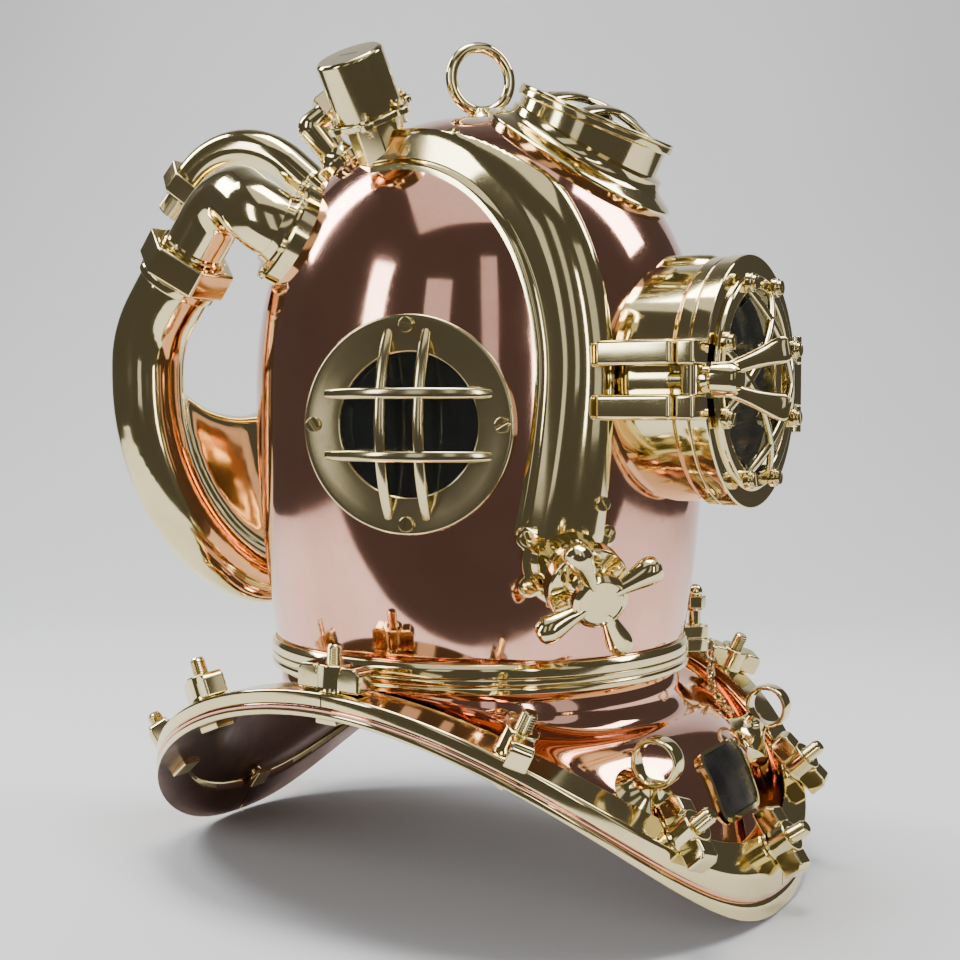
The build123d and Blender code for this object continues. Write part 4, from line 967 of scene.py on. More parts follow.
@dataclass(frozen=True)
class NeckRings:
    """The two neck rings with their interrupted threads, and the safety lock between them."""

    outer: float = 133.0
    seat_z: float = 130.0
    joint_z: float = 138.5
    top_z: float = 147.0
    gap: float = 0.3
    bore: float = 121.0
    sleeve: float = 124.0
    skirt: float = 12.0
    groove_lift: float = 3.25
    gasket_inner: float = 123.0
    gasket_outer: float = 129.0
    spigot: float = 117.0
    core: float = 112.0
    dome_seat: float = 128.5
    lock_azimuth: float = -40.0
    lock_reach: float = 143.0
    lug_radius: float = 9.0
    pin_hole: float = 4.9
    pin_radius: float = 4.0
    pin_stem: float = 19.0
    pin_hexagon: float = 8.0

    def lug(self, low: float, high: float) -> Shape:
        """Round-nosed lock lug beside a ring."""
        turns = [pi * i / 18 - pi / 2 for i in range(19)]
        arc = [(self.lug_radius * cos(turn), self.lug_radius * sin(turn)) for turn in turns]
        root = self.outer - self.lock_reach - 1.0
        outline = [(root, -self.lug_radius)] + arc + [(root, self.lug_radius)]
        direction = outward(self.lock_azimuth)
        frame = Matrix.Translation(direction * self.lock_reach) @ turned(-90.0 - self.lock_azimuth)
        return Shape.slab(outline, low, high, polygon(32, self.pin_hole)).rounded(0.7).at(frame)

    def threads(self, inner: float, outer: float, low: float) -> Shape:
        """Four lugs of an interrupted thread."""
        shape = Shape()
        for i in range(4):
            turns = [radians(90 * i - 19 + 38 * k / 10) for k in range(11)]
            outline = ([(outer * cos(turn), outer * sin(turn)) for turn in turns]
                       + [(inner * cos(turn), inner * sin(turn)) for turn in reversed(turns)])
            shape.plus(Shape.slab(outline, low, low + 4.0).rounded(0.5, 2))
        return shape

    def lower_ring(self) -> Shape:
        """Ring of the breastplate: sleeve, groove round the outside, gasket recess on top."""
        seat, joint, groove = self.seat_z, self.joint_z, self.seat_z + self.groove_lift
        ring = Shape.lathe([(self.bore, seat - self.skirt), (self.sleeve, seat - self.skirt), (self.sleeve, seat),
                            (self.outer, seat), (self.outer, groove), (self.outer - 1.2, groove + 1),
                            (self.outer, groove + 2), (self.outer, joint), (self.gasket_outer, joint),
                            (self.gasket_outer, joint - 2), (self.gasket_inner, joint - 2),
                            (self.gasket_inner, joint), (self.bore, joint)], 240).rounded(0.6, 3, 40)
        return ring.plus(self.lug(seat, joint), self.threads(self.spigot + 0.4, self.bore + 1, seat - 4))

    def upper_ring(self) -> Shape:
        """Ring of the bonnet: spigot below, seat for the dome on top."""
        tip, base, top = self.seat_z - self.skirt + self.gap, self.joint_z + self.gap, self.top_z
        ring = Shape.lathe([(self.core, tip), (self.spigot, tip), (self.spigot, base), (self.outer, base),
                            (self.outer, top - 3), (self.outer - 2.2, top), (self.dome_seat, top),
                            (self.dome_seat, base + 3.2), (self.core, base + 3.2)], 240).rounded(0.8, 3, 30)
        return ring.plus(self.lug(base, top), self.threads(self.spigot - 1, self.bore - 0.4, self.seat_z - 8.3))

    def pin(self) -> Shape:
        """Safety pin: stem, hexagon, ball top and a collar under the hexagon."""
        tip = self.joint_z + 2 * self.gap
        waist, shoulder = tip + self.pin_stem, tip + self.pin_stem + self.pin_hexagon
        pin = Shape.disc(self.pin_radius, tip, waist, 0.4, 40)
        pin.plus(Shape.slab(polygon(6, 7.5), waist, shoulder).rounded(0.7, 2),
                 Shape.ball(5.2).at(shifted(z=shoulder + 2.6)),
                 Shape.ring(4.6, 0.8, 40, 10).at(shifted(z=waist - 0.9)))
        return pin.at(facing(outward(self.lock_azimuth) * self.lock_reach, UP))

    def build(self, finishes: Finishes) -> None:
        """Both rings and the pin."""
        self.lower_ring().piece("neck_ring_lower", Body.BREASTPLATE, finishes.brass, "breastplate_ring")
        self.upper_ring().piece("neck_ring_upper", Body.BONNET, finishes.brass, "bonnet_ring")
        self.pin().piece("safety_pin", Body.LOCK_PIN, finishes.brass, "lock_pin")


@dataclass(frozen=True)
class SafetyChain:
    """Round-linked chain from the lock lug down the bowl."""

    links: int = 9
    length: float = 9.0
    width: float = 6.4
    wire: float = 0.85
    top: tuple = (-40.0, 154.0, 128.4)
    bend_z: float = 101.0
    foot: tuple = (-30.0, 162.0, 93.0)

    def link(self) -> Shape:
        """One oval link of round wire."""
        reach = (self.length - self.width) / 2
        radius = self.width / 2 - self.wire
        path = [Vector((reach * (1 if cos(a) > 0 else -1) + radius * cos(a), radius * sin(a), 0.0))
                for a in (tau * (i + 0.5) / 24 for i in range(24))]
        loops = []
        for i, point in enumerate(path):
            ahead = (path[(i + 1) % 24] - path[i - 1]).normalized()
            out = ahead.cross(UP)
            loops.append([point + out * x + Vector((0, 0, y)) for x, y in polygon(10, self.wire)])
        return Shape.loft(loops, closed=True)

    def build(self, finishes: Finishes) -> None:
        """The chain and the split ring at its top."""
        start, end = (outward(azimuth) * reach + UP * z for azimuth, reach, z in (self.top, self.foot))
        bend = start + UP * (self.bend_z - start.z)
        low = bend * 0.62 + start * 0.38
        shape = Shape()
        for i in range(self.links):
            t = (i + 0.5) / self.links
            s = 1 - t
            spot = start * s ** 3 + low * 3 * s * s * t + bend * 3 * s * t * t + end * t ** 3
            run = ((low - start) * s * s + (bend - low) * 2 * s * t + (end - bend) * t * t).normalized()
            side = UP.cross(run).normalized()
            up = side if i % 2 else run.cross(side)
            frame = Matrix((run, up.cross(run), up)).transposed().to_4x4()
            shape.plus(self.link().at(Matrix.Translation(spot) @ frame))
        shape.plus(Shape.ring(6.5, 0.7, 40, 10).at(Matrix.Translation(start + UP * 2) @ turned(90, "X")))
        shape.piece("safety_chain", Body.BREASTPLATE, finishes.brass, "lock_chain")


@dataclass(frozen=True)
class Padeye:
    """Upright eye on a bell-shaped foot."""

    azimuth: float = 28.0
    foot_radius: float = 169.0
    foot_z: float = 79.0
    rise: float = 53.0
    reach: float = 25.2
    ring: float = 14.0
    hole: float = 10.5
    width: float = 12.0
    base: float = 21.0
    base_edge: float = 0.6
    root: float = 10.0
    neck: float = 8.0

    def build(self, finishes: Finishes) -> None:
        """Both eyes."""
        frame = facing(outward(self.azimuth) * self.foot_radius + UP * self.foot_z,
                       outward(self.azimuth, self.rise))
        stem, wide = self.reach - self.hole, self.base - self.base_edge
        flare = [(self.base, -self.root), (self.base, -1.2), (wide, 0.2)]
        for i in range(1, 13):
            t = i / 12
            flare.append((self.neck + (wide - self.neck) * (1 - sin(t * pi / 2)) ** 1.2, stem * t))
        bell = Shape.lathe([(0.0, -self.root)] + flare + [(0.0, stem)], 64, closed=False).at(frame)
        mean = (self.ring + self.hole) / 2
        section = [(mean + x, y) for x, y in soft_oval(self.ring - self.hole, self.width, 3.0, 24)]
        eye_frame = Matrix.Translation(frame @ Vector((0, 0, self.reach))) @ turned(90, "Y")
        bell.plus(Shape.lathe(section, 64).at(eye_frame))
        bell.both_sides("chest_eye", Body.BREASTPLATE, Body.BREASTPLATE, finishes.brass, "padeye")


# ---------------------------------------------------------------- bonnet


@dataclass(frozen=True)
class Light:
    """Round side light: seat, flange, bars and screws.

    Each of the bars is given by its half length, its place and its turn; its twin stands opposite.
    """

    azimuth: float = 75.5
    height: float = 280.0
    seat_radius: float = 59.0
    seat_start: float = 123.0
    seat_plane: float = 139.5
    flange_radius: float = 60.5
    flange: float = 3.5
    opening: float = 39.5
    glass_radius: float = 45.0
    glass_depth: float = 10.0
    bar_width: float = 6.4
    bar_depth: float = 5.0
    bars: tuple = ((49.0, 0.0, 17.0, 0.0), (53.0, 11.0, 0.0, 90.0))
    rise: float = 16.0
    screw_circle: float = 54.5

    def frame(self) -> Matrix:
        """Frame of the right light on the bonnet's axis."""
        return facing(Vector((0, 0, self.height)), outward(self.azimuth))

    def build(self, finishes: Finishes) -> None:
        """Both lights."""
        frame, plane, top = self.frame(), self.seat_plane, self.seat_plane + self.flange
        seat = Shape.lathe([(self.opening, self.seat_start), (self.seat_radius, self.seat_start),
                            (self.seat_radius, plane), (self.glass_radius, plane),
                            (self.glass_radius, plane - self.glass_depth),
                            (self.opening, plane - self.glass_depth)], 128).rounded(0.5, 2).at(frame)
        guard = Shape.lathe([(self.opening, plane), (self.flange_radius, plane), (self.flange_radius, top - 0.6),
                             (self.flange_radius - 0.8, top), (self.flange_radius - 3.0, top),
                             (self.flange_radius - 8.0, top - 0.7), (self.opening + 6.0, top - 1.7),
                             (self.opening + 0.8, top - 2.0)], 144)
        guard = guard.rounded(0.7, 3, 30)
        base = shifted(z=top - 1.0)
        for sign in (-1, 1):
            for half, x, y, turn in self.bars:
                bar = Shape.arched_bar(half, self.rise, self.bar_depth, self.bar_width)
                guard.plus(bar.at(base @ shifted(sign * x, sign * y) @ turned(turn)))
        guard.at(frame)
        heads = screws(around(frame @ shifted(z=top - 0.1), 4, self.screw_circle))
        seat_left, guard_left = seat.across(), guard.across()
        for side, body, cage in (("right", seat, guard), ("left", seat_left, guard_left)):
            body.piece("light_seat_" + side, Body.BONNET, finishes.brass, "side_light_seat_" + side)
            cage.piece("light_cage_" + side, Body.BONNET, finishes.rolled, "side_light_guard_" + side)
        heads.plus(heads.across()).piece("light_screw_set", Body.BONNET, finishes.brass, "side_light_screws")


@dataclass(frozen=True)
class TopLight:
    """Leaning round light on the front of the crown."""

    place: tuple = (0.0, -82.0, 465.0)
    lean: float = 26.0
    tube: float = 47.0
    flange: float = 61.0
    rim: float = 50.0
    opening: float = 36.0
    glass_radius: float = 40.0
    glass_depth: float = 8.0
    depth: float = 45.0
    profile: tuple = ((0, -2.0), (0, 3.4), (0.5, 4.5), (1.6, 5.0), (8, 5.0), (11, 5.6), (13, 7.2), (14.2, 10.5),
                      (20, 10.5), (20, -2.0))
    bar_offset: float = 12.0

    def frame(self) -> Matrix:
        """Frame on the light's outer face."""
        return facing(Vector(self.place), outward(0.0, 90.0 - self.lean))

    def build(self, finishes: Finishes) -> None:
        """Housing and guard."""
        frame = self.frame()
        drum = Shape.lathe([(self.opening, -self.depth), (self.tube, -self.depth), (self.tube, -4),
                            (self.rim, -4), (self.rim, 0),
                            (self.glass_radius, 0), (self.glass_radius, -self.glass_depth),
                            (self.opening, -self.glass_depth)], 128).rounded(0.8, 3).at(frame)
        pad = SKIN.pad(frame, lambda turn: self.flange, self.profile, 128)
        drum.plus(pad).piece("top_light_drum", Body.BONNET, finishes.brass, "top_light_housing")
        guard = Shape.lathe([(self.opening, 0), (self.rim, 0), (self.rim, 2.2), (self.opening, 2.2)], 128)
        guard = guard.rounded(0.7, 3)
        half = sqrt(self.rim ** 2 - self.bar_offset ** 2) - 4.5
        for place in (shifted(y=-self.bar_offset), shifted(y=self.bar_offset), turned(90)):
            guard.plus(Shape.arched_bar(half, 10.0, 4.5, 9.0).at(place))
        guard.at(frame).piece("top_light_bars", Body.BONNET, finishes.brass, "top_light_guard")


@dataclass(frozen=True)
class Bonnet:
    """Copper dome with its lifting ring."""

    wall: float = 2.5
    ring_radius: float = 20.0
    ring_wire: float = 3.6
    boss_radius: float = 9.0
    boss_height: float = 6.0
    ring_turn: float = 36.0
    light_hole: float = 51.0
    face_hole: float = 60.0
    valve_hole: float = 16.5
    top_hole: float = 41.0

    def shell(self, finishes: Finishes) -> None:
        """Dome with its openings, thickened inwards."""
        light = Light().frame()
        openings = ((light, self.light_hole, 60.0), (MIRROR @ light, self.light_hole, 60.0),
                    (Faceplate().frame(), self.face_hole, 40.0), (ExhaustValve().frame(), self.valve_hole, -70.0),
                    (TopLight().frame(), self.top_hole, -60.0))
        holes = [(frame.inverted(), radius, start) for frame, radius, start in openings]

        def open_here(point: Vector) -> bool:
            """True inside one of the openings."""
            for frame, radius, start in holes:
                local = frame @ point
                if hypot(local.x, local.y) < radius and local.z > start:
                    return True
            return False

        dome = Shape.lathe(SKIN.outline(), 256, closed=False).without(open_here)
        item = dome.piece("bonnet_dome", Body.BONNET, finishes.copper, "bonnet_shell", flow=60.0)
        # The inner side gets dark copper: painted shade inside the dome.
        thicken(item, self.wall, finishes.painted_shade)

    def build(self, finishes: Finishes) -> None:
        """Dome and ring."""
        self.shell(finishes)
        self.ring(finishes)

    def ring(self, finishes: Finishes) -> None:
        """Lifting ring on its boss."""
        crown = SKIN.top_z
        top = crown + self.boss_height
        boss = Shape.lathe([(0, crown - 4), (self.boss_radius + 2, crown - 3),
                            (self.boss_radius + 1, crown + 0.6), (self.boss_radius, crown + 2.5),
                            (self.boss_radius - 2.4, crown + 5), (4.5, top + 1.5), (0, top + 2)], 64, closed=False)
        frame = facing(UP * (top + self.ring_radius), outward(self.ring_turn))
        boss.plus(Shape.ring(self.ring_radius, self.ring_wire, 96, 28).at(frame))
        boss.piece("lifting_eye", Body.BONNET, finishes.brass, "lifting_ring")


@dataclass(frozen=True)
class Channel:
    """Raised duct from the exhaust valve over the crown."""

    inner_x: float = 73.0
    outer_x: float = 100.0
    foot_spread: float = 5.0
    height: float = 13.0
    end_height: float = 20.0
    flange_width: float = 3.5
    flange: float = 2.2
    foot_z: float = 211.0
    foot_y: float = 97.0
    end_y: float = 12.0
    end_rise: float = 138.0
    slant: float = 0.044
    stations: int = 96
    screw_spots: tuple = ((82.0, 0.905), (82.0, 0.12))

    def rise(self, share: float) -> float:
        """Height of the duct, which grows towards its upper end."""
        grown = min(max((share - 0.68) / 0.3, 0.0), 1.0)
        return self.height + (self.end_height - self.height) * grown * grown * (3 - 2 * grown)

    def section(self, share: float) -> Outline:
        """Pairs of X and lift across the duct, from the inner to the outer edge."""
        outer = self.outer_x + self.foot_spread * max(1 - share / 0.4, 0.0) ** 1.5
        middle, half = (self.inner_x + outer) / 2, (outer - self.inner_x) / 2
        edge = self.flange_width
        points = [(self.inner_x - edge, -2.0), (self.inner_x - edge, self.flange - 0.6),
                  (self.inner_x - edge + 0.6, self.flange), (self.inner_x - 1.2, self.flange)]
        for i in range(29):
            u = -1 + i / 14
            arch = max(1 - abs(u) ** 2.4, 0.0) ** (1 / 2.1)
            points.append((middle + half * u, self.flange + 0.1 + (self.rise(share) - self.flange) * arch))
        points += [(outer + 1.2, self.flange), (outer + edge - 0.6, self.flange),
                   (outer + edge, self.flange - 0.6), (outer + edge, -2.0)]
        return points

    def build(self, finishes: Finishes) -> None:
        """The duct, laid on the skin station by station, and its screws."""
        loops = []
        for j in range(self.stations + 1):
            share = j / self.stations
            loops.append([self.spot(x, share, lift) for x, lift in self.section(share)])
        duct = Shape.loft(loops).rounded(0.7, 2, 62)
        duct.piece("exhaust_duct", Body.BONNET, finishes.brass, "exhaust_channel", flow=50.0)
        places = []
        for x, share in self.screw_spots:
            spot = self.spot(x, share, self.rise(share) * 0.985)
            places.append(facing(spot, SKIN.normal(spot)))
        screws(places, 75.0).piece("duct_screw_set", Body.BONNET, finishes.brass)

    def spot(self, x: float, share: float, lift: float = 0.0) -> Vector:
        """Point of the duct over the skin, from its foot at 0 to its end at 1."""
        middle_z = SKIN.belly_z
        low = atan2(self.foot_z - middle_z, self.foot_y)
        high = pi / 2 + atan2(self.end_y, self.end_rise)
        share *= 1 - self.slant * (self.outer_x - x) / (self.outer_x - self.inner_x)
        angle = low + (high - low) * share
        direction = Vector((0.0, -cos(angle), sin(angle)))
        return SKIN.beneath(Vector((-x, 0.0, middle_z)) + direction * 80.0, direction, lift)


@dataclass(frozen=True)
class Faceplate:
    """Housing of the faceplate, its door, hinge and wing bolt.

    Stations of a wing: how far out and ahead, how broad and how thick.
    """

    height: float = 304.0
    radius: float = 69.5
    bore: float = 54.0
    front: float = 172.0
    lip_radius: float = 72.5
    lip: float = 8.0
    saddle_x: float = 75.0
    saddle_y: float = 84.0
    ridge: tuple = ((0, 92), (15, 92), (15, 150), (14.2, 158), (12.4, 162.6), (9, 164), (0, 164))
    ridge_sink: float = 9.5
    fork_x: float = 78.0
    fork_half: float = 11.0
    fork_back: float = 128.0
    fork_lug: float = 14.0
    fork_gap: float = 15.0
    fork_tail: float = 5.5
    hinge_x: float = 81.0
    hinge_ahead: float = 5.8
    knuckle: float = 6.0
    knuckle_half: float = 13.0
    knuckle_end: float = 30.0
    door_radius: float = 73.0
    door_gap: float = 0.3
    door: float = 11.0
    guard_lift: float = 3.0
    guard_radius: float = 59.0
    guard_offset: float = 24.5
    wing_lift: float = 6.8
    saddle_screws: tuple = (52, 68, 112, 128, 232, 248, 292, 308)
    screw_inset: float = 4.6
    wing: tuple = ((3.0, 12.0, 8.0, 8.0), (6.5, 17.5, 8.4, 7.2), (8.6, 23.5, 8.6, 6.2),
                   (10.6, 29.3, 9.6, 5.6), (12.4, 34.5, 11.4, 5.2), (13.9, 39.2, 13.2, 4.8),
                   (14.9, 42.9, 13.8, 4.2), (15.5, 45.3, 12.6, 3.2), (15.8, 46.6, 10.0, 1.6))
    wing_hub: tuple = ((0, 0), (7, 0), (7, 3.6), (7.6, 5), (9.5, 6.4), (9.5, 17.5), (8.2, 20.2), (5, 21.4),
                       (0, 21.6))

    def frame(self) -> Matrix:
        """Frame on the helmet's axis, facing forward, Y up."""
        return facing(Vector((0, 0, self.height)), FORWARD)

    def hinge(self) -> Matrix:
        """Frame of the hinge, upright on the diver's left."""
        return facing(Vector((self.hinge_x, -self.front - self.hinge_ahead, self.height)), UP)

    def fork_middles(self) -> tuple[float, float]:
        """Heights of the two fork lugs' middles over the faceplate's axis."""
        middle = (self.fork_gap + self.fork_lug) / 2
        return -middle, middle

    def saddle(self, turn: float) -> float:
        """Radius of the saddle flange at an angle."""
        return 1 / hypot(cos(turn) / self.saddle_x, sin(turn) / self.saddle_y)

    def housing(self, finishes: Finishes) -> None:
        """Barrel, saddle, ridge, fork lugs and hinge arms."""
        frame, front = self.frame(), self.front
        barrel = Shape.lathe([(self.bore, 92), (self.radius, 92), (self.radius, front - self.lip - 2.5),
                              (self.lip_radius, front - self.lip), (self.lip_radius, front), (66, front),
                              (66, front - 3), (58, front - 3), (58, front), (self.bore, front)], 160)
        barrel.rounded(0.9, 3, 30).at(frame)
        inset = self.saddle_x - self.radius
        pad = SKIN.pad(frame, self.saddle, [(0, -2.0), (0, 3.2), (0.5, 4.4), (1.5, 5.0), (inset * 0.6, 5.1),
                                            (inset, 5.6), (inset + 6, 6.4), (inset + 12, 6.6),
                                            (inset + 12, -2.0)], 144)
        ridge = Shape.lathe(self.ridge, 64, closed=False).at(frame @ shifted(y=self.radius - self.ridge_sink))
        fork = Shape()
        for middle in self.fork_middles():
            lug = Shape.slab(rectangle(3 * self.fork_half, self.fork_lug), self.fork_back, front).rounded(2.6, 4)
            fork.plus(lug.at(frame @ shifted(-self.fork_x, middle)))
        arms = Shape()
        for low, high in ((-self.knuckle_end, -self.knuckle_half - self.door_gap),
                          (self.knuckle_half + self.door_gap, self.knuckle_end)):
            arms.plus(Shape.disc(self.knuckle, low, high, 0.8, 40).at(self.hinge()))
            web = Shape.slab(rectangle(24.0, 6.0), low, high).rounded(1.0, 2)
            arms.plus(web.at(shifted(69.0, -front + 3.0, self.height)))
            neck = Shape.slab(rectangle(6.0, 11.8), low, high).rounded(0.8, 2)
            arms.plus(neck.at(shifted(self.hinge_x, -front - 0.1, self.height)))
        barrel.plus(pad, ridge, fork, arms)
        barrel.piece("face_housing", Body.BONNET, finishes.brass, "faceplate_housing")
        places = []
        for turn in map(radians, self.saddle_screws):
            reach = self.saddle(turn) - self.screw_inset
            places.append(SKIN.on(frame, reach * cos(turn), reach * sin(turn), 5.0))
        screws(places, 20.0).piece("saddle_screw_set", Body.BONNET, finishes.brass)

    def door_pieces(self, finishes: Finishes) -> None:
        """Door ring, guard and screws."""
        frame = self.frame() @ shifted(z=self.front + self.door_gap)
        raised = self.door + self.guard_lift
        ring = Shape.lathe([(57, 0), (self.door_radius, 0), (self.door_radius, self.door), (61.5, self.door),
                            (61, raised), (53, raised), (53, 7), (57, 7)], 160).rounded(1.2, 4, 30)
        for middle in self.fork_middles():
            prong = Shape.slab(rectangle(34.0, self.fork_lug), 0.0, self.door).rounded(2.2, 4)
            ring.plus(prong.at(shifted(-self.fork_x + self.fork_tail, middle)))
        ring.plus(Shape.slab(rectangle(44.5, 26.0), 0.0, self.door).rounded(1.2, 3).at(shifted(58.7)))
        ring.at(frame)
        ring.plus(Shape.disc(self.knuckle, -self.knuckle_half, self.knuckle_half, 0.6, 40).at(self.hinge()))
        ring.piece("door_ring", Body.DOOR, finishes.brass, "faceplate_door")
        top = frame @ shifted(z=raised)
        half = sqrt(self.guard_radius ** 2 - self.guard_offset ** 2)
        guard, heads = Shape(), []
        for turn in (45, 135, 225, 315):
            bar = Shape.arched_bar(half, 11.0, 4.0, 5.0)
            guard.plus(bar.at(top @ turned(turn) @ shifted(y=self.guard_offset)))
            for sign in (-1, 1):
                lug = top @ turned(turn) @ shifted(sign * half, self.guard_offset)
                guard.plus(Shape.disc(5.5, 0.0, 4.0, 0.7, 40).at(lug))
                heads.append(lug @ shifted(z=4.0))
        guard.piece("door_bars", Body.DOOR, finishes.brass, "faceplate_guard")
        screws(heads, 10.0).piece("door_screw_set", Body.DOOR, finishes.brass, "door_screws")

    def build(self, finishes: Finishes) -> None:
        """Housing, door and bolt."""
        self.housing(finishes)
        self.door_pieces(finishes)
        self.wing_bolt(finishes)

    def wing_bolt(self, finishes: Finishes) -> None:
        """Clamp bolt with its two flared wings."""
        frame = facing(Vector((-self.fork_x, 0, self.height)), FORWARD)
        face = self.front + self.door_gap + self.door / 2 + self.wing_lift
        bolt = Shape.thread(4.5, -20.0, 0.4, 1.6)
        bolt.plus(Shape.lathe(self.wing_hub, 48, closed=False))
        before, after = self.wing[:1] + self.wing[:-1], self.wing[1:] + self.wing[-1:]
        for sign in (-1, 1):
            loops = []
            for near, (out, ahead, broad, thick), far in zip(before, self.wing, after):
                run = Vector((0.0, far[0] - near[0], far[1] - near[1])).normalized()
                side, middle = Vector((0.0, run.z, -run.y)), Vector((0.0, out, ahead))
                loops.append([middle + Vector((x, 0, 0)) + side * y for x, y in soft_oval(thick, broad, 2.6, 24)])
            bolt.plus(Shape.loft(loops).at(Matrix.Scale(sign, 4, (0, 1, 0))).sound())
        bolt.at(frame @ shifted(z=face))
        bolt.piece("clamp_wing_bolt", Body.WING_BOLT, finishes.brass, "wing_bolt")


@dataclass(frozen=True)
class ExhaustValve:
    """Round valve with an eared pad and a club-armed hand wheel."""

    azimuth: float = 39.0
    dip: float = 22.0
    reach: float = 165.0
    height: float = 195.0
    body: float = 19.0
    bore: float = 14.0
    depth: float = 62.0
    pad: float = 26.0
    pad_drop: float = 30.0
    pad_profile: tuple = ((0, -2), (0, 3), (0.4, 3.7), (1.2, 4.0), (5, 4.2), (7.6, 6.5), (12, 6.5), (12, -2))
    ear: float = 6.0
    ears: tuple = (25, 155, 215, 325)
    cap: float = 23.0
    cap_height: float = 10.0
    neck: float = 9.0
    hub: float = 15.5
    hub_height: float = 8.0
    arm: float = 38.0
    arm_turn: float = 32.0
    arm_line: tuple = ((3.6, 9.0), (4.2, 12.0), (4.3, 14.0), (4.9, 17.0), (5.9, 22.0), (7.0, 27.0), (7.5, 30.6),
                       (7.2, 33.6), (5.9, 36.2), (3.4, 37.6))

    def frame(self) -> Matrix:
        """Frame of the valve, facing out and down."""
        return facing(outward(self.azimuth) * self.reach + UP * self.height, outward(self.azimuth, -self.dip))

    def edge(self, turn: float) -> float:
        """Outline of the pad with its ears."""
        radius = self.pad
        for angle in self.ears:
            off = (turn - radians(angle) + pi) % tau - pi
            room = self.ear ** 2 - (self.pad * sin(off)) ** 2
            if room > 0 and cos(off) > 0:
                radius = max(radius, self.pad * cos(off) + sqrt(room))
        return radius

    def club(self) -> Shape:
        """One arm along Z with its swollen end."""
        return Shape.lathe([(0.0, self.arm_line[0][1]), *self.arm_line, (0.0, self.arm)], 32, closed=False)

    def build(self, finishes: Finishes) -> None:
        """Body, cap, screws and wheel."""
        frame, half = self.frame(), self.cap_height / 2
        body = Shape.lathe([(self.bore, -self.depth), (self.body, -self.depth), (self.body, -16), (20.5, -11),
                            (21.5, -half), (self.bore, -half)], 80).rounded(0.5, 2)
        body.plus(Shape.lathe([(10, -self.depth), (15, -self.depth), (15, -59), (10, -59)], 64)).at(frame)
        foot = frame @ shifted(z=-self.pad_drop)
        pad = SKIN.pad(foot, self.edge, self.pad_profile, 180)
        body.plus(pad).piece("valve_body", Body.BONNET, finishes.brass, "exhaust_valve_body")
        top = half + 9.0
        cap = Shape.lathe([(4.1, -half), (self.cap, -half), (self.cap, half - 1), (self.cap - 1.5, half),
                           (14.5, half + 0.6), (11, half + 2.4), (self.neck, half + 5), (self.neck, top),
                           (4.1, top)], 80).rounded(0.6, 2, 30).at(frame)
        cap.piece("valve_cap", Body.BONNET, finishes.brass, "exhaust_valve_bonnet")
        heads = screws(around(frame @ shifted(z=half), 6, self.cap - 5.2, 30))
        heads.piece("valve_screw_set", Body.BONNET, finishes.brass, "exhaust_valve_screws")
        places = [SKIN.on(foot, self.pad * cos(turn), self.pad * sin(turn), 3.9)
                  for turn in map(radians, self.ears)]
        screws(places, 60.0).piece("valve_ear_screws", Body.BONNET, finishes.brass)
        low = top + 0.3
        high = low + self.hub_height
        wheel = Shape.lathe([(0, -half), (4, -half), (4, low), (13, low), (self.hub, low + 2),
                             (self.hub, high - 2), (13.8, high - 0.4), (12.6, high), (11.9, high - 0.6),
                             (0, high - 0.5)], 80, closed=False)
        middle = frame @ shifted(z=low + self.hub_height / 2)
        wheel.at(frame)
        for i in range(4):
            wheel.plus(self.club().at(middle @ turned(self.arm_turn + 90 * i) @ turned(90, "Y")))
        wheel.piece("valve_wheel", Body.HAND_WHEEL, finishes.brass, "hand_wheel")


@dataclass(frozen=True)
class SecondValve:
    """Capped valve on a faceted neck at the rear of the crown."""

    foot: tuple = (-100.0, 15.5, 461.0)
    axis: tuple = (-0.53, 0.04, 0.85)
    cap: float = 20.0
    height: float = 35.0
    neck: float = 16.5
    depth: float = 40.0
    flange: float = 23.0
    flange_height: float = 4.0
    lug: float = 4.5

    def build(self, finishes: Finishes) -> None:
        """Body with its lugs, and the slotted cap."""
        frame = facing(Vector(self.foot), Vector(self.axis))
        under = -self.flange_height
        body = Shape.slab(polygon(8, self.neck), -self.depth, under).rounded(0.7, 2)
        body.plus(Shape.disc(self.flange, under, 0.0, 0.8))
        lugs = around(shifted(), 6, self.flange)
        for lug in lugs:
            body.plus(Shape.disc(self.lug, under, 0.0, 0.7, 32).at(lug))
        body.at(frame).piece("second_valve_neck", Body.BONNET, finishes.brass, "second_valve_body")
        bolts = Shape()
        for lug in lugs:
            bolts.plus(Shape.slab(polygon(6, 3.0), -0.4, 2.2).rounded(0.4, 2).at(frame @ lug),
                       Shape.thread(1.6, -9.0, 4.6, 1.0, 0.3).at(frame @ lug))
        bolts.piece("second_valve_bolts", Body.BONNET, finishes.brass)
        cap = Shape.lathe([(0, 0), (self.cap, 0), (self.cap, self.height - 1.6), (self.cap - 1.6, self.height),
                           (0, self.height)], 96, closed=False).rounded(0.5, 2, 30)
        # The cap's slot is a black block in its top face: painted shade where the groove would be.
        slot = Shape.slab(rectangle(14.0, 3.0), self.height - 2.9, self.height + 0.05).rounded(0.3, 1)
        cap.at(frame).piece("second_valve_hood", Body.BONNET, finishes.brass, "second_valve_cap")
        slot.at(frame).piece("second_valve_slot_shade", Body.BONNET, finishes.rubber)


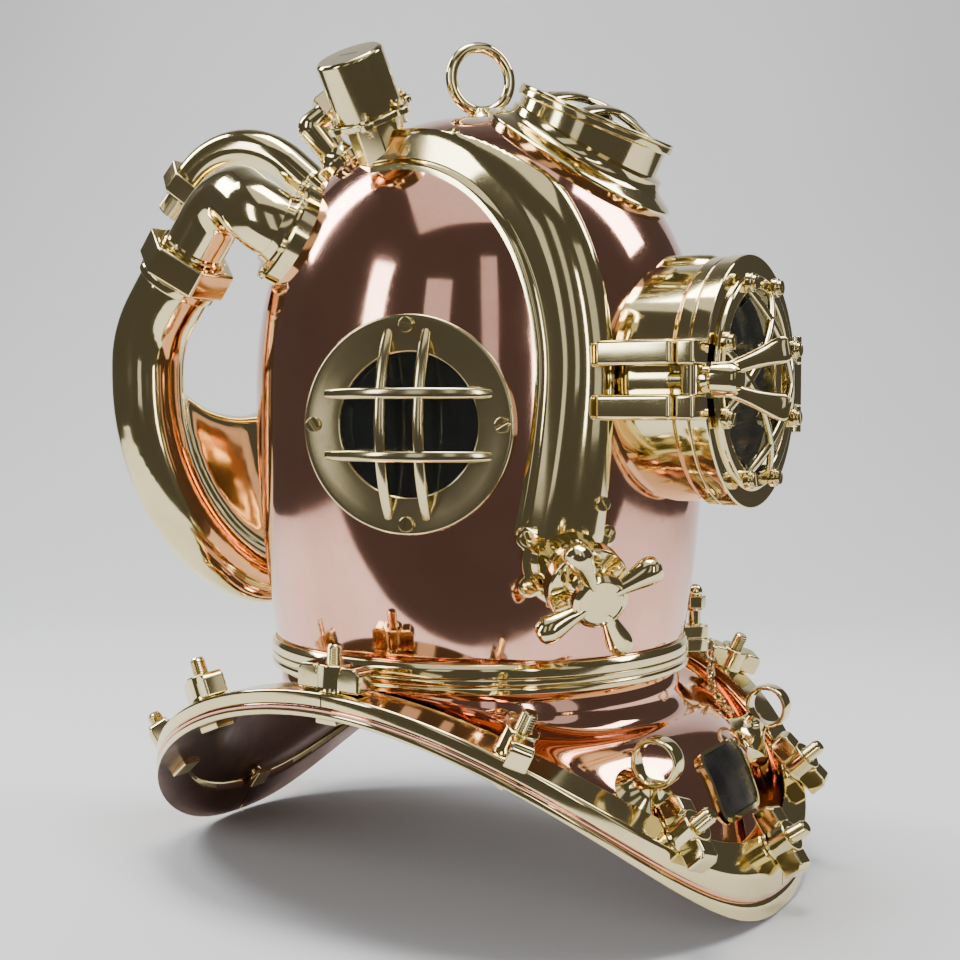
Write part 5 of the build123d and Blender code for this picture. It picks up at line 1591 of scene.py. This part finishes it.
@dataclass(frozen=True)
class Elbow:
    """Screwed elbow on the rear of the dome, with its union nut; the canister's leg starts at its end."""

    azimuth: float = 127.0
    polar: float = 64.0
    corner: tuple = (-84.0, 136.0, 430.0)
    first_run: float = 18.0
    last_run: float = 66.0
    slope: float = 53.0
    bend: float = 32.0
    pipe: float = 19.4
    flange: float = 32.5
    flange_height: float = 6.0
    nut_radius: float = 31.0
    nut_height: float = 19.0
    nut_lap: float = 3.0
    nut_bore: float = 19.6

    def down(self) -> Vector:
        """Direction of the last run."""
        return outward(180.0, -self.slope)

    def end(self) -> Vector:
        """End of the pipe."""
        return Vector(self.corner) + self.down() * self.last_run

    def pieces(self) -> tuple[Shape, Shape, Shape]:
        """Pipe with its flange, screws and nut of the right side."""
        frame = SKIN.crown_place(self.azimuth, self.polar)
        foot, axis = frame.translation, frame.to_3x3() @ UP
        path = bent_path([foot - axis * 16, foot + axis * self.first_run, Vector(self.corner), self.end()],
                         self.bend, 18)
        pipe = Shape.pipe(path, lambda share: self.pipe + 2.0 * (1 - min(share / 0.72, 1.0) ** 2), 56)
        top = self.flange_height
        flange = Shape.lathe([(0, -34), (self.flange, -34), (self.flange, top - 1.2), (self.flange - 1.2, top),
                              (23.6, top + 0.3), (22.3, top + 1.2), (21.6, top + 3.2), (21.0, top + 6),
                              (0, top + 6)], 96, closed=False).at(frame)
        lip = facing(self.end(), self.down())
        bead = Shape.lathe([(0, -19.8), (21.0, -19.8), (21.8, -18.8), (21.8, -17.2), (21.0, -16.3),
                            (0, -16.3)], 64, closed=False).at(lip)
        heads = screws(around(frame @ shifted(z=top), 6, self.flange - 4.2, 30))
        low, bore = self.nut_lap - self.nut_height, self.nut_bore
        nut = Shape.slab(polygon(6, self.nut_radius), low, self.nut_lap).rounded(1.7, 3).at(lip)
        nut.plus(Shape.lathe([(bore, low - 0.6), (25, low - 0.6), (25, low + 1), (bore, low + 1)], 64).at(lip))
        return pipe.plus(flange, bead), heads, nut

    def build(self, finishes: Finishes) -> None:
        """Both elbows and nuts."""
        pipe, heads, nut = self.pieces()
        pipe.both_sides("elbow", Body.BONNET, Body.BONNET, finishes.brass, "canister_elbow")
        heads.plus(heads.across()).piece("elbow_screw_set", Body.BONNET, finishes.brass, "elbow_screws")
        nut.both_sides("hex_nut", Body.UNION_NUT_RIGHT, Body.UNION_NUT_LEFT, finishes.brass, "union_nut")


@dataclass(frozen=True)
class Canister:
    """Two legs that flow into one flat pouch behind the dome."""

    collar: float = 26.0
    collar_height: float = 6.0
    leg: float = 24.0
    leg_below: float = 20.0
    rib: float = 15.0
    ribs: int = 9
    back_y: float = 207.0
    bend: float = 60.0
    top_z: float = 306.0
    foot: tuple = (170.0, 172.0)
    saddle: tuple = (200.0, 270.0)
    narrow: float = 14.0
    rib_taper: float = 0.5
    gap: float = 3.3
    voxel: float = 2.2

    def hoop(self, outer: float, share: float) -> list[Vector]:
        """Half of a hanging loop between the legs, the widest at 0 and the saddle at 1."""
        low_y = self.foot[0] + (self.saddle[0] - self.foot[0]) * share ** 0.7
        low_z = self.foot[1] + (self.saddle[1] - self.foot[1]) * share
        x = -outer + self.narrow * share
        return interpolate_bezier(Vector((x, self.back_y, self.top_z)),
                                  Vector((x, self.back_y, low_z + (self.top_z - low_z) * 0.42)),
                                  Vector((x * 0.5, low_y + 5.0, low_z)), Vector((0.0, low_y, low_z)), 30)

    def leg_radius(self, share: float) -> float:
        """Radius of a leg, from its collar at 0 to the lowest point at 1."""
        return self.leg - (self.leg - self.leg_below) * share ** 3

    def rib_radius(self, share: float) -> float:
        """Radius of a loop inside the pouch, which starts thin inside the leg."""
        return self.rib * (self.rib_taper + (1 - self.rib_taper) * min(share / 0.3, 1.0))

    def build(self, finishes: Finishes) -> None:
        """The canister, its legs and pouch melted together, and its collars."""
        elbow = Elbow()
        start = elbow.end() + elbow.down() * self.gap
        corner = start + elbow.down() * ((self.back_y - start.y) / elbow.down().y)
        top = bent_path([start, corner, Vector((corner.x, corner.y, self.top_z))], self.bend, 20)
        half = Shape.pipe(top + self.hoop(-start.x, 0.0)[1:], self.leg_radius, 48)
        for i in range(1, self.ribs + 1):
            half.plus(Shape.pipe(self.hoop(-start.x, i / self.ribs), self.rib_radius, 32))
        item = half.plus(half.across()).piece("canister_body", Body.BONNET, finishes.brass, "canister",
                                              flow=80.0)
        item.modifiers.clear()
        remesh = item.modifiers.new("melt", "REMESH")
        remesh.mode, remesh.voxel_size, remesh.use_smooth_shade = "VOXEL", self.voxel * MM, True
        smooth = item.modifiers.new("relax", "SMOOTH")
        smooth.factor, smooth.iterations = 0.5, 40
        finer = item.modifiers.new("finer", "SUBSURF")
        finer.levels = finer.render_levels = 1
        collars = Shape()
        lip = facing(start, elbow.down())
        collar = Shape.disc(self.collar, 0.0, self.collar_height, 1.2, 72).at(lip)
        collars.plus(collar.across(), collar)
        collars.piece("canister_collars", Body.BONNET, finishes.brass)


@dataclass(frozen=True)
class Gooseneck:
    """Gas supply pipe with its nut and inlet."""

    azimuth: float = 165.0
    polar: float = 48.7
    pipe: float = 13.2
    bend: float = 54.0
    first_run: float = 88.0
    last_run: float = 66.0
    slope: float = 45.0
    flange: float = 23.0
    flange_height: float = 12.0
    nut_radius: float = 19.0
    nut_height: float = 15.0
    inlet: tuple = ((5, -7), (10.2, -7), (10.2, 0), (13.2, 0), (13.2, 3), (10, 3), (10, 17), (5, 17))
    inlet_threads: int = 8

    def build(self, finishes: Finishes) -> None:
        """Pipe, flange, screws, nut and inlet."""
        frame = SKIN.crown_place(self.azimuth, self.polar)
        foot, axis = frame.translation, frame.to_3x3() @ UP
        down = outward(180.0, -self.slope)
        corner = foot + axis * self.first_run
        end = corner + down * self.last_run
        pipe = Shape.pipe(bent_path([foot - axis * 11, corner, end], self.bend, 26), self.pipe, 48)
        top = self.flange_height
        flange = Shape.lathe([(0, -30), (self.flange, -30), (self.flange, top - 1.4), (self.flange - 1.4, top),
                              (16.5, top + 0.3), (14.4, top + 2), (13.4, top + 6), (0, top + 6)], 72,
                             closed=False).at(frame)
        pipe.plus(flange).piece("gas_pipe", Body.BONNET, finishes.brass, "gooseneck")
        heads = screws(around(frame @ shifted(z=top), 5, (self.flange + self.pipe) / 2, 90))
        heads.piece("gas_pipe_screws", Body.BONNET, finishes.brass, "gooseneck_screws")
        lip = facing(end, down)
        nut = Shape.slab(polygon(6, self.nut_radius), -self.nut_height, 0.0).rounded(1.2, 3).at(lip)
        nut.piece("gas_pipe_nut", Body.GOOSENECK_NUT, finishes.brass, "gooseneck_nut")
        inlet = Shape.lathe(self.inlet, 56).rounded(0.4, 2)
        for i in range(self.inlet_threads):
            inlet.plus(Shape.ring(9.75, 0.45, 56, 8).at(shifted(z=5.0 + 1.5 * i)))
        inlet.at(lip).piece("gas_inlet_stub", Body.BONNET, finishes.brass, "gas_inlet")


@dataclass(frozen=True)
class Gland:
    """Flanged telephone elbow with a hex block."""

    azimuth: float = 140.0
    polar: float = 39.0
    flange: float = 17.0
    post: float = 10.0
    height: float = 30.0
    arm: float = 9.0
    hex_radius: float = 15.5
    hex_height: float = 13.0
    profile: tuple = ((0, -2), (0, 3.6), (0.5, 4.6), (1.5, 5.0), (4.5, 5.2), (6.4, 7.4), (7.2, 10), (11, 10),
                      (11, -2))

    def build(self, finishes: Finishes) -> None:
        """The whole gland."""
        frame = SKIN.crown_place(self.azimuth, self.polar)
        shape = SKIN.pad(frame, lambda turn: self.flange, self.profile, 72)
        shape.plus(Shape.disc(self.post, -10, self.height, 0.3, 56).at(frame),
                   Shape.ball(self.post).at(frame @ shifted(z=self.height)))
        arm = frame @ shifted(z=self.height) @ turned(-90, "X")
        end = self.arm + self.hex_height
        shape.plus(Shape.disc(self.post, 0, self.arm + 1, 0.3, 56).at(arm),
                   Shape.slab(polygon(6, self.hex_radius), self.arm, end).rounded(1.1, 3).at(arm))
        shape.piece("telephone_elbow", Body.BONNET, finishes.brass, "telephone_gland")


# ---------------------------------------------------------------- studio


@dataclass(frozen=True)
class Lamp:
    """Soft rectangular lamp aimed at the helmet."""

    name: str
    place: tuple[float, float, float]
    size: tuple[float, float]
    watts: float
    tone: Colour = (1.0, 1.0, 1.0)

    def build(self, target: Vector) -> None:
        """Hangs the lamp."""
        data = bpy.data.lights.new(self.name, "AREA")
        data.shape, data.size, data.size_y = "RECTANGLE", self.size[0], self.size[1]
        data.energy, data.color = self.watts, self.tone
        item = bpy.data.objects.new(self.name, data)
        item.location = self.place
        item.rotation_euler = (target - Vector(self.place)).to_track_quat("-Z", "Y").to_euler()
        bpy.context.collection.objects.link(item)


@dataclass(frozen=True)
class Studio:
    """Pale seamless floor and backdrop, soft lamps and the camera."""

    camera_place: tuple = (-0.793, -0.476, 0.287)
    azimuth: float = 59.0
    pitch: float = 2.7
    lens: float = 54.1
    sensor: float = 36.0
    paper: Colour = (0.78, 0.79, 0.81)
    paper_start: float = -0.45
    paper_bend: tuple = (1.1, 0.9)
    paper_top: float = 4.5
    paper_width: float = 3.0
    floor_drop: float = 0.0004
    room: Colour = (0.30, 0.28, 0.26)
    room_strength: float = 0.27
    aim_height: float = 0.25
    lamps: tuple = (
        Lamp("ceiling", (-0.5, -0.3, 2.7), (2.6, 2.0), 14.0, (1.0, 0.98, 0.96)),
        Lamp("key", (-0.15, 0.05, 2.3), (1.2, 0.7), 52.0, (1.0, 0.98, 0.95)),
        Lamp("window", (0.9, -1.0, 1.6), (0.5, 0.9), 20.0, (0.97, 0.98, 1.0)),
        Lamp("back", (-0.2, 1.45, 1.5), (0.42, 0.9), 26.0, (0.97, 0.98, 1.0)),
        Lamp("side", (-1.75, 0.75, 0.95), (0.35, 1.1), 12.0, (0.96, 0.98, 1.0)),
        Lamp("strip", (-1.1, -1.7, 0.7), (0.14, 1.2), 6.0, (1.0, 0.99, 0.96)),
        Lamp("wall_front", (-0.45, -2.1, 0.9), (0.5, 1.8), 1.6),
        Lamp("wall_middle", (-1.75, -1.25, 1.1), (0.3, 1.6), 1.0),
        Lamp("wall_near", (-2.1, -0.35, 0.8), (0.45, 1.4), 1.5),
    )

    def backdrop(self) -> None:
        """Floor that curves up behind the helmet."""
        ahead = outward(self.azimuth + 180.0)
        side = Vector((-ahead.y, ahead.x, 0.0))
        bend_x, bend = self.paper_bend
        profile = [(self.paper_start, 0.0), (bend_x, 0.0)]
        for i in range(1, 17):
            turn = pi / 2 * i / 16
            profile.append((bend_x + bend * sin(turn), bend - bend * cos(turn)))
        profile.append((bend_x + bend, self.paper_top))
        bm = bmesh.new()
        near = side * -self.paper_width / 2
        verts = [bm.verts.new(ahead * x + near + UP * (z - self.floor_drop)) for x, z in profile]
        edges = [bm.edges.new(pair) for pair in zip(verts, verts[1:])]
        wide = bmesh.ops.extrude_edge_only(bm, edges=edges)["geom"]
        far = [item for item in wide if isinstance(item, bmesh.types.BMVert)]
        bmesh.ops.translate(bm, vec=side * self.paper_width, verts=far)
        bmesh.ops.recalc_face_normals(bm, faces=bm.faces)
        data = bpy.data.meshes.new("studio_paper")
        bm.to_mesh(data)
        bm.free()
        data.shade_smooth()
        data.materials.append(Matt("studio_paper", self.paper).material())
        paper = bpy.data.objects.new("studio_paper", data)
        bpy.context.collection.objects.link(paper)

    def camera(self) -> None:
        """Camera at the photograph's place."""
        data = bpy.data.cameras.new("camera")
        data.lens, data.sensor_width = self.lens, self.sensor
        item = bpy.data.objects.new("camera", data)
        item.location = self.camera_place
        look = outward(self.azimuth + 180.0, -self.pitch)
        item.rotation_euler = look.to_track_quat("-Z", "Y").to_euler()
        bpy.context.collection.objects.link(item)
        bpy.context.scene.camera = item

    def build(self) -> None:
        """Everything round the helmet."""
        world = bpy.data.worlds.new("room")
        world.use_nodes = True
        background = world.node_tree.nodes["Background"]
        background.inputs[0].default_value = self.room + (1.0,)
        background.inputs[1].default_value = self.room_strength
        bpy.context.scene.world = world
        self.backdrop()
        for lamp in self.lamps:
            lamp.build(UP * self.aim_height)
        self.camera()


def dress_nodes(frame: dict, finishes: Finishes) -> None:
    """Gives every CAD node the finish of its slot."""
    slots = {entry["node"]: Slot(entry["material_slot"]) for entry in frame["record"]["subparts"]}
    for name, item in frame["nodes"].items():
        for slot in item.material_slots:
            slot.material = finishes.by_slot[slots[name]]


def main() -> None:
    """Builds the scene."""
    logging.basicConfig(level=logging.INFO, format="%(message)s")
    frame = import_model()
    finishes = Finishes()
    dress_nodes(frame, finishes)
    Studio().build()
    PLATE.shell(finishes)
    PLATE.edges(finishes)
    for fitting in (RimFastenings, NeckRings, SafetyChain, Padeye, Bonnet, Light, TopLight, Faceplate, Channel,
                    ExhaustValve, SecondValve, Elbow, Canister, Gooseneck, Gland):
        fitting().build(finishes)


if __name__ == "__main__":
    main()
